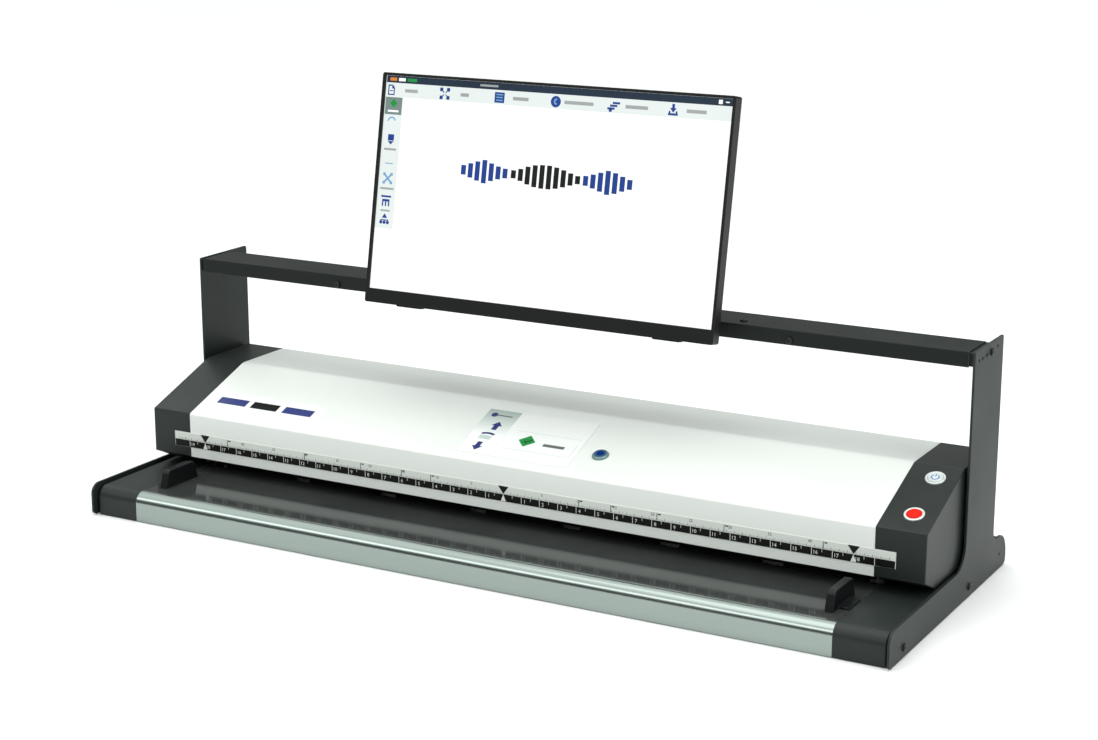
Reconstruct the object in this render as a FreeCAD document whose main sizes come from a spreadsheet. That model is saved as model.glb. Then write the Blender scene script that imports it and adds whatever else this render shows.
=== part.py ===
import FreeCAD, Part
import math
import os
import Sketcher

# A wide-format document scanner: a low base with a powered paper path, a scan head
# hinged over it, and a frame of two side plates and a crossbar that carries a monitor.
# Millimetres, +Z up, +X to the machine's right, the user stands at -Y.
# Distances "back" are measured from the face of the front bar.

# ------------------------------------------------------------------ driving dimensions

DIMENSIONS = {
    # frame plates
    "plates_width": 1098.6,
    "front_edge": -191.8,
    "plate_thick": 3.0,
    "plate_bottom": 1.0,
    "plate_nose": 7.0,
    "plate_tail": 390.6,
    "arm_height": 42.3,
    "tail_height": 43.5,
    "upright_front": 236.5,
    "upright_back": 338.7,
    "upright_height": 298.8,
    # crossbar
    "bar_depth": 60.0,
    "bar_height": 18.5,
    "bar_sheet": 1.8,
    # base
    "base_half": 543.0,
    "table_half": 481.0,
    "base_depth": 383.0,
    "table_height": 38.0,
    "table_sheet": 2.5,
    "nose_radius": 15.0,
    "cap_wall": 2.5,
    "foot_height": 3.0,
    "floor_sheet": 2.0,
    "fit_gap": 0.3,
    # paper path
    "front_roller_back": 165.0,
    "rear_roller_back": 285.0,
    "roller_radius": 14.0,
    "roller_axis_height": 24.3,
    "shaft_radius": 4.0,
    "pulley_radius": 9.0,
    "motor_pulley_radius": 7.0,
    "motor_back": 225.0,
    "motor_axis_height": 18.3,
    "motor_radius": 13.0,
    "belt_plane": -511.0,
    "belt_width": 6.0,
    "idler_radius": 8.5,
    "idler_axis_height": 47.7,
    "idler_shaft_radius": 3.0,
    "running_gap": 0.05,
    # scan head
    "head_front": 118.0,
    "head_crown": 237.5,
    "head_rear": 333.5,
    "head_bottom": 57.1,
    "throat_front": 151.0,
    "throat_rear": 300.0,
    "throat_height": 42.0,
    "head_front_top": 116.3,
    "head_top": 160.0,
    "cover_wall": 3.0,
    "cover_half": 482.0,
    "head_half": 542.5,
    "ruler_half": 507.5,
    "ruler_low": 70.0,
    "ruler_high": 89.8,
    "panel_left": -77.0,
    "panel_right": 80.0,
    "panel_low": 13.5,
    "panel_high": 108.0,
    "dome_across": 110.3,
    "dome_along": 47.8,
    "button_across": 516.3,
    "power_along": 102.0,
    "stop_along": 31.0,
    "button_radius": 8.7,
    "ring_radius": 12.0,
    "hinge_back": 352.0,
    "hinge_height": 52.0,
    "hinge_pin_radius": 3.0,
    # paper guides
    "guide_inner": 457.2,
    "guide_thick": 10.5,
    "guide_front": 33.0,
    "guide_rear": 100.0,
    "guide_height": 23.5,
    # monitor
    "monitor_back": 187.0,
    "monitor_bottom": 281.4,
    "monitor_half": 245.8,
    "monitor_height": 292.6,
    "monitor_edge": 17.7,
    "screen_half": 241.5,
    "screen_low": 17.9,
    "screen_high": 289.1,
    "tilt_depth": 58.0,
    "tilt_along": 150.0,
    "tilt_pin_radius": 4.0,
}
MONITOR_LEAN = 10.5     # degrees back from upright

doc = FreeCAD.newDocument("wide_document_scanner")
sheet = doc.addObject("Spreadsheet::Sheet", "Sheet")


def fill_sheet():
    """Write each driving dimension as a plain number with its name as alias."""
    for row, (alias, value) in enumerate(DIMENSIONS.items(), start=1):
        sheet.set("A%d" % row, alias)
        sheet.set("B%d" % row, str(value))
        sheet.setAlias("B%d" % row, alias)
    doc.recompute()


class Size:
    """A length that carries its number and the sheet expression it comes from."""

    def __init__(self, number, rule):
        self.number = number
        self.rule = rule

    def combine(self, other, sign, swap=False):
        other = as_size(other)
        first, second = (other, self) if swap else (self, other)
        rule = "(%s %s %s)" % (first.rule, sign, second.rule)
        number = {
            "+": first.number + second.number,
            "-": first.number - second.number,
            "*": first.number * second.number,
        }[sign]
        return Size(number, rule)

    def __add__(self, other):
        return self.combine(other, "+")

    def __radd__(self, other):
        return self.combine(other, "+", swap=True)

    def __sub__(self, other):
        return self.combine(other, "-")

    def __rsub__(self, other):
        return self.combine(other, "-", swap=True)

    def __mul__(self, other):
        return self.combine(other, "*")

    def __rmul__(self, other):
        return self.combine(other, "*", swap=True)

    def __neg__(self):
        return self * -1


def as_size(value):
    """Plain numbers join in sums with sizes from the sheet."""
    if isinstance(value, Size):
        return value
    return Size(float(value), "(%.6f)" % value)


class Dimensions:
    """Every alias of the sheet as a Size attribute."""

    def __init__(self):
        for alias, value in DIMENSIONS.items():
            setattr(self, alias, Size(value, "Sheet." + alias))


fill_sheet()
d = Dimensions()


def back(distance):
    """Y of a point that lies this far behind the front bar's face."""
    return d.front_edge + distance


# ------------------------------------------------------------------ building helpers

pieces = []


def keep(solid, label):
    """Register a finished sub-part under its name."""
    solid.Label = label
    pieces.append(solid)
    return solid


def place(solid, base, rotation=None):
    """Put an object at a base point whose coordinates follow the sheet."""
    if rotation is not None:
        solid.Placement.Rotation = rotation
    for axis, value in zip("xyz", base):
        solid.setExpression("Placement.Base." + axis, as_size(value).rule)


def block(name, low, high, rotation=None):
    """A box between two corners, or of that size along a turned frame."""
    solid = doc.addObject("Part::Box", name)
    for prop, start, end in zip(("Length", "Width", "Height"), low, high):
        solid.setExpression(prop, (as_size(end) - start).rule)
    place(solid, low, rotation)
    return solid


AXIS_TURNS = {
    "+x": FreeCAD.Rotation(FreeCAD.Vector(0, 1, 0), 90),
    "-x": FreeCAD.Rotation(FreeCAD.Vector(0, 1, 0), -90),
    "+y": FreeCAD.Rotation(FreeCAD.Vector(1, 0, 0), -90),
    "-y": FreeCAD.Rotation(FreeCAD.Vector(1, 0, 0), 90),
    "+z": FreeCAD.Rotation(),
}


def rod(name, radius, length, start, turn="+x"):
    """A cylinder from a start point along a named axis or a given rotation."""
    solid = doc.addObject("Part::Cylinder", name)
    solid.setExpression("Radius", as_size(radius).rule)
    solid.setExpression("Height", as_size(length).rule)
    place(solid, start, AXIS_TURNS[turn] if isinstance(turn, str) else turn)
    return solid


def fuse(name, solids):
    joined = doc.addObject("Part::MultiFuse", name)
    joined.Shapes = solids
    return joined


def cut(name, base, tool):
    result = doc.addObject("Part::Cut", name)
    result.Base = base
    result.Tool = tool
    return result


def group(name, solids):
    """Several separate solids that share one sub-part."""
    compound = doc.addObject("Part::Compound", name)
    compound.Links = solids
    return compound


def origin_plane(body, role):
    return next(item for item in body.Origin.OriginFeatures if item.Role == role)


def draw_outline(sketch, corners):
    """A closed outline whose corners are held to the sheet."""
    count = len(corners)
    numbers = [(as_size(u).number, as_size(v).number) for u, v in corners]
    for index, start in enumerate(numbers):
        end = numbers[(index + 1) % count]
        sketch.addGeometry(Part.LineSegment(FreeCAD.Vector(*start, 0), FreeCAD.Vector(*end, 0)))
    for index in range(count):
        sketch.addConstraint(Sketcher.Constraint("Coincident", index, 2, (index + 1) % count, 1))
    for index, corner in enumerate(corners):
        for kind, value in zip(("DistanceX", "DistanceY"), corner):
            value = as_size(value)
            held = sketch.addConstraint(Sketcher.Constraint(kind, -1, 1, index, 1, value.number))
            sketch.setExpression("Constraints[%d]" % held, value.rule)


def profile(name, corners, low, high, rounds=None):
    """A bar along X with an outline in Y and Z; rounds maps a corner's index to a radius."""
    body = doc.addObject("PartDesign::Body", name)
    sketch = body.newObject("Sketcher::SketchObject", name + "_outline")
    sketch.AttachmentSupport = (origin_plane(body, "YZ_Plane"), [""])
    sketch.MapMode = "FlatFace"
    draw_outline(sketch, corners)
    pad = body.newObject("PartDesign::Pad", name + "_pad")
    pad.Profile = sketch
    pad.setExpression("Length", (as_size(high) - low).rule)
    body.setExpression("Placement.Base.x", as_size(low).rule)
    doc.recompute()
    for index, radius in (rounds or {}).items():
        round_corner(body, corners[index], radius)
    return body


def round_corner(body, corner, radius):
    """Fillet the edge along X that stands on one corner of the outline."""
    spot = [as_size(value).number for value in corner]
    tip = body.Tip
    for number, edge in enumerate(tip.Shape.Edges, start=1):
        ends = [vertex.Point for vertex in edge.Vertexes]
        if len(ends) == 2 and all(math.hypot(p.y - spot[0], p.z - spot[1]) < 0.01 for p in ends):
            fillet = body.newObject("PartDesign::Fillet", body.Name + "_round")
            fillet.Base = (tip, ["Edge%d" % number])
            fillet.setExpression("Radius", as_size(radius).rule)
            body.Tip = fillet
            doc.recompute()
            return
    raise RuntimeError("no edge at the corner of " + body.Name)


def mirrored(name, source):
    """The same piece on the machine's other side."""
    twin = doc.addObject("Part::Mirroring", name)
    twin.Source = source
    twin.Normal = FreeCAD.Vector(1, 0, 0)
    return twin


def screw(name, start, turn, head_radius=4.5, head_height=2.6, shank_radius=2.5, shank_length=2.8):
    """A button-head screw: the shank points down the axis, the head stands on the surface."""
    head = rod(name + "_head", head_radius, head_height, start, turn)
    edge = doc.addObject("Part::Fillet", name + "_dome")
    edge.Base = head
    doc.recompute()
    top = max(range(len(head.Shape.Edges)), key=lambda n: rim_height(head, n))
    edge.Edges = [(top + 1, head_height * 0.6, head_height * 0.6)]
    socket = doc.addObject("Part::Prism", name + "_socket")
    socket.Polygon = 6
    socket.Circumradius = head_radius * 0.42
    socket.Height = head_height
    way = head.Placement.Rotation.multVec(FreeCAD.Vector(0, 0, 1))
    place(socket, shifted(start, way, head_height * 0.45), head.Placement.Rotation)
    shank = rod(name + "_shank", shank_radius, shank_length, shifted(start, way, -shank_length),
                head.Placement.Rotation)
    return cut(name, fuse(name + "_solid", [edge, shank]), socket)


def rim_height(cylinder, index):
    """How far along the cylinder's own axis a round edge lies."""
    edge = cylinder.Shape.Edges[index]
    if not edge.Closed:
        return -1
    way = cylinder.Placement.Rotation.multVec(FreeCAD.Vector(0, 0, 1))
    return (edge.CenterOfMass - cylinder.Placement.Base).dot(way)


def shifted(point, way, distance):
    """A point moved along a direction, still tied to the sheet."""
    return [as_size(value) + step * distance for value, step in zip(point, way)]


# ------------------------------------------------------------------ frame: plates and crossbar

PLATE_SCREWS = ((36.8, 13.0), (253.5, 14.0), (295.0, 287.0))
PLATE_HOLES = ((251.0, 286.0), (263.0, 286.0), (279.0, 286.5), (317.0, 289.5), (364.6, 20.3))
SCREW_HOLE = 2.6
SMALL_HOLE = 2.0


def side_plate():
    inner = d.plates_width * 0.5 - d.plate_thick
    corners = [
        (back(-d.plate_nose), d.plate_bottom),
        (back(-d.plate_nose), d.arm_height),
        (back(d.upright_front), d.arm_height),
        (back(d.upright_front), d.upright_height),
        (back(d.upright_back), d.upright_height),
        (back(d.upright_back), d.tail_height),
        (back(d.plate_tail), d.tail_height),
        (back(d.plate_tail), d.plate_bottom),
    ]
    rounds = {0: 6, 1: 14, 2: 29, 3: 2, 4: 3, 5: 14, 6: 28, 7: 7}
    sheet_metal = profile("side_plate_blank", corners, inner, inner + d.plate_thick, rounds)
    bosses = [rod("plate_boss", 8, inner - d.base_half, (d.base_half, back(distance), height))
              for distance, height in PLATE_SCREWS[:2]]
    drills = []
    for spots, radius in ((PLATE_SCREWS, SCREW_HOLE), (PLATE_HOLES, SMALL_HOLE)):
        for distance, height in spots:
            drills.append(rod("plate_drill", radius, 8, (inner - 4, back(distance), height)))
    solid = fuse("side_plate_solid", [sheet_metal] + bosses)
    right = keep(cut("side_plate_right", solid, fuse("plate_drills", drills)), "side_plate_right")
    keep(mirrored("side_plate_left", right), "side_plate_left")


def side_screws():
    outer = d.plates_width * 0.5
    screws = [screw("plate_screw", (outer, back(y), z), "+x") for y, z in PLATE_SCREWS]
    screws += [screw("plate_screw", (-outer, back(y), z), "-x") for y, z in PLATE_SCREWS]
    keep(group("side_screws", screws), "side_screws")


TOP_SCREW_ACROSS = 256.0
FRONT_SCREW_ACROSS = 322.0
STAND_SCREW_ACROSS = 50.0
BAR_SCREW_INSET = 15.5
STAND_FOOT = 3.0


def bar_screw_spots():
    """Centres and directions of the screws on the crossbar's front and top."""
    front = [((x, back(d.upright_front), d.upright_height - 13), "-y")
             for x in (-FRONT_SCREW_ACROSS, FRONT_SCREW_ACROSS)]
    top = [((x, back(d.upright_front + BAR_SCREW_INSET), d.upright_height), "+z")
           for x in (-TOP_SCREW_ACROSS, TOP_SCREW_ACROSS)]
    return front + top


def stand_screw_spots():
    return [(x, back(248), d.upright_height + STAND_FOOT) for x in (-STAND_SCREW_ACROSS, STAND_SCREW_ACROSS)]


def crossbar():
    inner = d.plates_width * 0.5 - d.plate_thick
    front = d.upright_front
    low = d.upright_height - d.bar_height
    corners = [
        (back(front), low),
        (back(front), d.upright_height),
        (back(front + d.bar_depth), d.upright_height),
        (back(front + d.bar_depth), low),
        (back(front + d.bar_depth - d.bar_sheet), low),
        (back(front + d.bar_depth - d.bar_sheet), d.upright_height - d.bar_sheet),
        (back(front + d.bar_sheet), d.upright_height - d.bar_sheet),
        (back(front + d.bar_sheet), low),
    ]
    channel = profile("crossbar_channel", corners, -inner, inner, {1: 2.2, 2: 2.2})
    tabs = []
    for left in (-inner, inner - d.plate_thick):
        tabs.append(block("crossbar_tab", (left, back(front + d.bar_sheet), low + 0.7),
                          (left + d.plate_thick, back(front + d.bar_depth + 3), d.upright_height - d.bar_sheet)))
    drills = []
    for spot, turn in bar_screw_spots():
        way = AXIS_TURNS[turn].multVec(FreeCAD.Vector(0, 0, 1))
        drills.append(rod("bar_drill", SCREW_HOLE, 6, shifted(spot, way, -4), turn))
    keep(cut("crossbar", fuse("crossbar_solid", [channel] + tabs), fuse("bar_drills", drills)), "crossbar")
    screws = [screw("bar_screw", spot, turn, shank_length=1.7) for spot, turn in bar_screw_spots()]
    screws += [screw("stand_screw", spot, "+z") for spot in stand_screw_spots()]
    keep(group("crossbar_screws", screws), "crossbar_screws")


# ------------------------------------------------------------------ base

FLOOR_TOP = d.foot_height + d.floor_sheet


def base_chassis():
    half = 538.0
    wall = d.floor_sheet
    parts = [
        block("chassis_floor", (-half, back(20), d.foot_height), (half, back(380), FLOOR_TOP)),
        block("chassis_front", (-half, back(20), FLOOR_TOP), (half, back(20) + wall, 32)),
        block("chassis_left", (-half, back(20) + wall, FLOOR_TOP), (-half + wall, back(380), 34)),
        block("chassis_right", (half - wall, back(20) + wall, FLOOR_TOP), (half, back(380), 34)),
    ]
    keep(fuse("base_chassis", parts), "base_chassis")
    feet = []
    for across in (-500, -170, 170, 500):
        for distance in (40, 345):
            feet.append(rod("foot", 12, d.foot_height, (across, back(distance), 0), "+z"))
    keep(group("rubber_feet", feet), "rubber_feet")


def front_bar():
    sheet_metal = 1.5
    corners = [
        (back(0), d.plate_bottom),
        (back(0), d.table_height),
        (back(d.nose_radius + 0.2), d.table_height),
        (back(d.nose_radius + 0.2), d.table_height - sheet_metal),
        (back(sheet_metal), d.table_height - sheet_metal),
        (back(sheet_metal), d.plate_bottom),
    ]
    half = d.table_half - 0.2
    keep(profile("front_bar", corners, -half, half, {1: d.nose_radius, 4: d.nose_radius - sheet_metal}),
         "front_bar")


def legged_deck(name, start, end, leg, lip):
    """A flat deck sheet with a turned-down lip and a support leg to the chassis floor."""
    top = d.table_height
    under = top - d.table_sheet
    thick = 2.0
    if lip == "front":
        corners = [(start, 30), (start, top), (end, top), (end, under),
                   (leg + thick, under), (leg + thick, FLOOR_TOP), (leg, FLOOR_TOP), (leg, under),
                   (start + thick, under), (start + thick, 30)]
        rounds = {1: 1.2}
    else:
        corners = [(start, under), (start, top), (end, top), (end, 30),
                   (end - thick, 30), (end - thick, under),
                   (leg + thick, under), (leg + thick, FLOOR_TOP), (leg, FLOOR_TOP), (leg, under)]
        rounds = {2: 2.4}
    half = d.table_half - 0.3
    keep(profile(name, corners, -half, half, rounds), name)


def decks():
    clear = d.roller_radius + 1.5
    legged_deck("feed_table", back(d.nose_radius + 0.5), back(d.front_roller_back - clear),
                back(138), "front")
    legged_deck("exit_table", back(d.rear_roller_back + clear), back(381), back(308), "rear")
    start = back(d.front_roller_back + clear)
    end = back(d.rear_roller_back - clear)
    top = d.table_height
    corners = [(start, FLOOR_TOP), (start, top), (end, top), (end, FLOOR_TOP),
               (end - 2, FLOOR_TOP), (end - 2, top - 3), (start + 2, top - 3), (start + 2, FLOOR_TOP)]
    keep(profile("background_platen", corners, -478, 478, {1: 1.5, 2: 1.5}), "background_platen")


def base_caps():
    wall = d.cap_wall
    outer = [
        (back(0), d.plate_bottom),
        (back(0), d.table_height),
        (back(d.base_depth), d.table_height),
        (back(d.base_depth), d.plate_bottom),
    ]
    inner = [
        (back(wall), d.plate_bottom - 2),
        (back(wall), d.table_height - wall),
        (back(d.base_depth - wall), d.table_height - wall),
        (back(d.base_depth - wall), d.plate_bottom - 2),
    ]
    shell = profile("base_cap_shell", outer, d.table_half, d.base_half, {1: d.nose_radius, 2: 8})
    soften_side(shell, d.base_half, 2.2)
    hollow = profile("base_cap_hollow", inner, d.table_half - 2, d.base_half - wall,
                     {1: d.nose_radius - wall})
    right = keep(cut("base_cap_right", shell, hollow), "base_cap_right")
    keep(mirrored("base_cap_left", right), "base_cap_left")


def soften_side(body, across, radius):
    """Fillet the outline of a bar's outer end face, leaving its bottom edge sharp."""
    tip = body.Tip
    reach = as_size(across).number - body.Placement.Base.x
    names = []
    lowest = tip.Shape.BoundBox.ZMin
    for number, edge in enumerate(tip.Shape.Edges, start=1):
        box = edge.BoundBox
        at_end = abs(box.XMin - reach) < 0.01 and abs(box.XMax - reach) < 0.01
        if at_end and box.ZMax > lowest + 0.01:
            names.append("Edge%d" % number)
    fillet = body.newObject("PartDesign::Fillet", body.Name + "_side")
    fillet.Base = (tip, names)
    fillet.setExpression("Radius", as_size(radius).rule)
    body.Tip = fillet
    doc.recompute()


INLET_ACROSS = -430.0
NETWORK_ACROSS = -345.0
USB_ACROSS = -310.0
SOCKET_HEIGHT = 19.0


def rear_panel():
    front = back(381.2)
    panel = block("rear_panel_sheet", (-d.table_half + 0.3, front, d.plate_bottom),
                  (d.table_half - 0.3, back(d.base_depth), d.table_height - 2.6))
    windows = [
        block("inlet_window", (INLET_ACROSS - 14, front - 1, SOCKET_HEIGHT - 10.4),
              (INLET_ACROSS + 14, front + 4, SOCKET_HEIGHT + 10.4)),
        block("network_window", (NETWORK_ACROSS - 8.2, front - 1, SOCKET_HEIGHT - 6.8),
              (NETWORK_ACROSS + 8.2, front + 4, SOCKET_HEIGHT + 6.8)),
        block("usb_window", (USB_ACROSS - 7.4, front - 1, SOCKET_HEIGHT - 8.4),
              (USB_ACROSS + 7.4, front + 4, SOCKET_HEIGHT + 8.4)),
    ]
    for index in range(14):
        left = 200 + 9 * index
        windows.append(block("vent", (left, front - 1, 9), (left + 4, front + 4, 29)))
    keep(cut("rear_panel", panel, fuse("rear_windows", windows)), "rear_panel")


def power_inlet():
    rear = back(d.base_depth)
    x, z = INLET_ACROSS, SOCKET_HEIGHT
    shell = fuse("inlet_shell", [
        block("inlet_flange", (x - 17, rear, z - 13), (x + 17, rear + 1.8, z + 13)),
        block("inlet_barrel", (x - 13.8, rear - 20, z - 10.2), (x + 13.8, rear, z + 10.2)),
    ])
    recess = block("inlet_recess", (x - 12, rear - 16, z - 8.2), (x + 12, rear + 3, z + 8.2))
    housing = cut("inlet_housing", shell, recess)
    pins = [block("inlet_pin", (x + dx - 1, rear - 17, z + dz - 2), (x + dx + 1, rear - 5, z + dz + 2))
            for dx, dz in ((-7, -1.5), (0, 2.5), (7, -1.5))]
    keep(fuse("power_inlet", [housing] + pins), "power_inlet")


def data_sockets():
    rear = back(d.base_depth)
    shells = []
    spots = ((NETWORK_ACROSS, 0, 7.95, 6.6), (USB_ACROSS, -4.2, 7.15, 3.45), (USB_ACROSS, 4.2, 7.15, 3.45))
    for across, lift, half, tall in spots:
        z = SOCKET_HEIGHT + lift
        outer = block("socket_shell", (across - half, rear - 18, z - tall), (across + half, rear + 0.8, z + tall))
        inner = block("socket_mouth", (across - half + 0.8, rear - 14, z - tall + 0.8),
                      (across + half - 0.8, rear + 2, z + tall - 0.8))
        shells.append(cut("socket", outer, inner))
    keep(group("data_sockets", shells), "data_sockets")


def electronics():
    board = [
        block("board_plate", (-390, back(312), 8), (-180, back(364), 9.6)),
        block("board_processor", (-300, back(325), 9.6), (-268, back(357), 14)),
        block("board_memory", (-250, back(330), 9.6), (-236, back(350), 11)),
        block("board_driver", (-225, back(328), 9.6), (-200, back(353), 18)),
    ]
    posts = [rod("board_post", 2.5, 8 - FLOOR_TOP, (x, back(y), FLOOR_TOP), "+z")
             for x in (-384, -186) for y in (318, 358)]
    keep(fuse("main_board", board + posts), "main_board")
    supply = block("supply_case", (130, back(314), FLOOR_TOP), (340, back(374), 31))
    louvres = [block("supply_louvre", (150 + 12 * n, back(320), 30), (156 + 12 * n, back(368), 32))
               for n in range(15)]
    keep(cut("power_supply", supply, fuse("supply_louvres", louvres)), "power_supply")


# ------------------------------------------------------------------ transport

SLEEVE_CENTRES = (-405, -270, -135, 0, 135, 270, 405)
BLOCK_INNER = 486.0
BLOCK_OUTER = 494.0


def drive_rollers():
    for name, distance in (("front", d.front_roller_back), ("rear", d.rear_roller_back)):
        centre = (back(distance), d.roller_axis_height)
        shaft = rod(name + "_roller_shaft", d.shaft_radius, 1012, (-514,) + centre)
        keep(shaft, name + "_roller_shaft")
        sleeves = []
        for across in SLEEVE_CENTRES:
            sleeve = rod("sleeve", d.roller_radius, 100, (across - 50,) + centre)
            bore = rod("sleeve_bore", d.shaft_radius + 0.02, 104, (across - 52,) + centre)
            sleeves.append(cut("rubber_sleeve", sleeve, bore))
        keep(group(name + "_roller_sleeves", sleeves), name + "_roller_sleeves")
        keep(pulley(name + "_roller_pulley", d.pulley_radius, d.shaft_radius, centre), name + "_roller_pulley")


def pulley(name, radius, bore, centre):
    """A flanged belt pulley on a shaft along X."""
    wheel = rod(name + "_wheel", radius, d.belt_width + 1, (d.belt_plane - 0.5,) + centre)
    flanges = [rod(name + "_flange", radius + 1.6, 0.9, (left,) + centre)
               for left in (d.belt_plane - 1.4, d.belt_plane + d.belt_width + 0.5)]
    hole = rod(name + "_hole", bore + 0.02, d.belt_width + 8, (d.belt_plane - 4,) + centre)
    return cut(name, fuse(name + "_solid", [wheel] + flanges), hole)


def bearings():
    blocks = []
    for distance in (d.front_roller_back, d.rear_roller_back):
        for left in (BLOCK_INNER, -BLOCK_OUTER):
            housing = block("bearing_housing", (left, back(distance) - 12, FLOOR_TOP),
                            (left + BLOCK_OUTER - BLOCK_INNER, back(distance) + 12, 35))
            bore = rod("bearing_bore", d.shaft_radius + d.running_gap, 12,
                       (left - 2, back(distance), d.roller_axis_height))
            blocks.append(cut("bearing_block", housing, bore))
    keep(group("bearing_blocks", blocks), "bearing_blocks")


MOTOR_SHAFT = 2.5
MOTOR_FACE = -496.0


def motor():
    centre = (back(d.motor_back), d.motor_axis_height)
    can = rod("motor_can", d.motor_radius, 60, (MOTOR_FACE,) + centre)
    bore = rod("motor_bore", MOTOR_SHAFT + d.running_gap, 9, (MOTOR_FACE - 1,) + centre)
    keep(cut("drive_motor", can, bore), "drive_motor")
    plate = fuse("motor_mount_solid", [
        block("motor_mount_plate", (MOTOR_FACE - 2, back(d.motor_back) - 20, FLOOR_TOP),
              (MOTOR_FACE, back(d.motor_back) + 20, 33)),
        block("motor_mount_foot", (MOTOR_FACE - 16, back(d.motor_back) - 20, FLOOR_TOP),
              (MOTOR_FACE - 2, back(d.motor_back) + 20, FLOOR_TOP + 1.5)),
    ])
    eye = rod("motor_mount_eye", 6, 6, (MOTOR_FACE - 4,) + centre)
    keep(cut("motor_mount", plate, eye), "motor_mount")
    shaft = rod("motor_shaft_rod", MOTOR_SHAFT, 21, (-513,) + centre)
    wheel = pulley("motor_wheel", d.motor_pulley_radius, MOTOR_SHAFT - 0.02, centre)
    keep(fuse("motor_pulley", [shaft, wheel]), "motor_pulley")


def belt_path(wheels):
    """The taut loop round wheels given as (y, z, radius), in counter-clockwise order seen from +X."""
    edges = []
    touches = []
    for index, (y0, z0, r0) in enumerate(wheels):
        y1, z1, r1 = wheels[(index + 1) % len(wheels)]
        span = math.hypot(y1 - y0, z1 - z0)
        heading = math.atan2(z1 - z0, y1 - y0)
        lean = heading - math.acos((r0 - r1) / span)
        out = FreeCAD.Vector(0, math.cos(lean), math.sin(lean))
        leave = FreeCAD.Vector(0, y0, z0) + out * r0
        arrive = FreeCAD.Vector(0, y1, z1) + out * r1
        edges.append(Part.LineSegment(leave, arrive).toShape())
        touches.append((leave, arrive))
    for index, (y0, z0, r0) in enumerate(wheels):
        arrive = touches[index - 1][1]
        leave = touches[index][0]
        centre = FreeCAD.Vector(0, y0, z0)
        middle = (arrive - centre) + (leave - centre)
        crown = centre + middle.normalize() * r0
        edges.append(Part.Arc(arrive, crown, leave).toShape())
    return Part.Wire(Part.__sortEdges__(edges))


def drive_belt():
    thick = 1.1
    slack = d.fit_gap.number
    centres = (
        (back(d.motor_back).number, d.motor_axis_height.number, d.motor_pulley_radius.number),
        (back(d.rear_roller_back).number, d.roller_axis_height.number, d.pulley_radius.number),
        (back(d.front_roller_back).number, d.roller_axis_height.number, d.pulley_radius.number),
    )
    loops = [belt_path([(y, z, r + extra) for y, z, r in centres]) for extra in (slack + thick, slack)]
    faces = [Part.Face(loop) for loop in loops]
    band = faces[0].cut(faces[1]).extrude(FreeCAD.Vector(d.belt_width.number, 0, 0))
    belt = doc.addObject("Part::Feature", "drive_belt")
    belt.Shape = band
    belt.Placement = FreeCAD.Placement(FreeCAD.Vector(d.belt_plane.number, 0, 0), FreeCAD.Rotation())
    keep(belt, "drive_belt")


# ------------------------------------------------------------------ scan head

SLOPE = math.degrees(math.atan2(
    DIMENSIONS["head_top"] - DIMENSIONS["head_front_top"],
    DIMENSIONS["head_crown"] - DIMENSIONS["head_front"]))
SLOPE_COS = math.cos(math.radians(SLOPE))
SLOPE_SIN = math.sin(math.radians(SLOPE))
SLOPE_TURN = FreeCAD.Rotation(FreeCAD.Vector(1, 0, 0), SLOPE)


def on_slope(across, along, lift=0.0):
    """A point on the sloping control face, lifted off it along its normal."""
    return (across,
            back(d.head_front) + along * SLOPE_COS - lift * SLOPE_SIN,
            d.head_front_top + along * SLOPE_SIN + lift * SLOPE_COS)


def slope_block(name, low, high):
    """A box whose (across, along, lift) corners lie on the sloping face."""
    solid = doc.addObject("Part::Box", name)
    for prop, start, end in zip(("Length", "Width", "Height"), low, high):
        solid.setExpression(prop, (as_size(end) - start).rule)
    place(solid, on_slope(as_size(low[0]), as_size(low[1]), as_size(low[2])), SLOPE_TURN)
    return solid


def slope_rod(name, radius, low, high, across, along):
    """A cylinder that stands on the sloping face between two lifts."""
    return rod(name, radius, as_size(high) - low, on_slope(across, as_size(along), as_size(low)), SLOPE_TURN)


LIP_RISE = 0.62         # how far a wall lifts the cap's lower lip, and moves its throat, per unit
THROAT_SHIFT = 0.23


def head_outline(inset, bottom):
    """The head's side outline, moved inwards by a wall thickness."""
    front_drop = (1 - SLOPE_SIN) / SLOPE_COS
    crown_shift = math.tan(math.radians(SLOPE / 2))
    return [
        (back(d.head_front + inset), bottom),
        (back(d.head_front + inset), d.head_front_top - inset * front_drop),
        (back(d.head_crown + inset * crown_shift), d.head_top - inset),
        (back(d.head_rear - inset), d.head_top - inset),
        (back(d.head_rear - inset), bottom),
    ]


def head_cover():
    outer = head_outline(as_size(0), d.head_bottom)
    inner = head_outline(d.cover_wall, d.head_bottom)
    half = d.cover_half - 0.15
    shell = profile("head_cover_shell", outer + inner[::-1], -half, half, {1: 4, 2: 30, 3: 5})
    window = slope_block("panel_window", (d.panel_left, d.panel_low, -6), (d.panel_right, d.panel_high, 4))
    keep(cut("head_cover", shell, window), "head_cover")


def cap_outline(inset):
    """The head's side outline closed below by the paper throat, moved inwards by a wall."""
    lip = d.head_bottom + 0.7 + inset * LIP_RISE
    floor = d.throat_height + inset
    return head_outline(inset, lip) + [
        (back(d.throat_rear - inset * THROAT_SHIFT), floor),
        (back(d.throat_front + inset * THROAT_SHIFT), floor),
    ]


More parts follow.
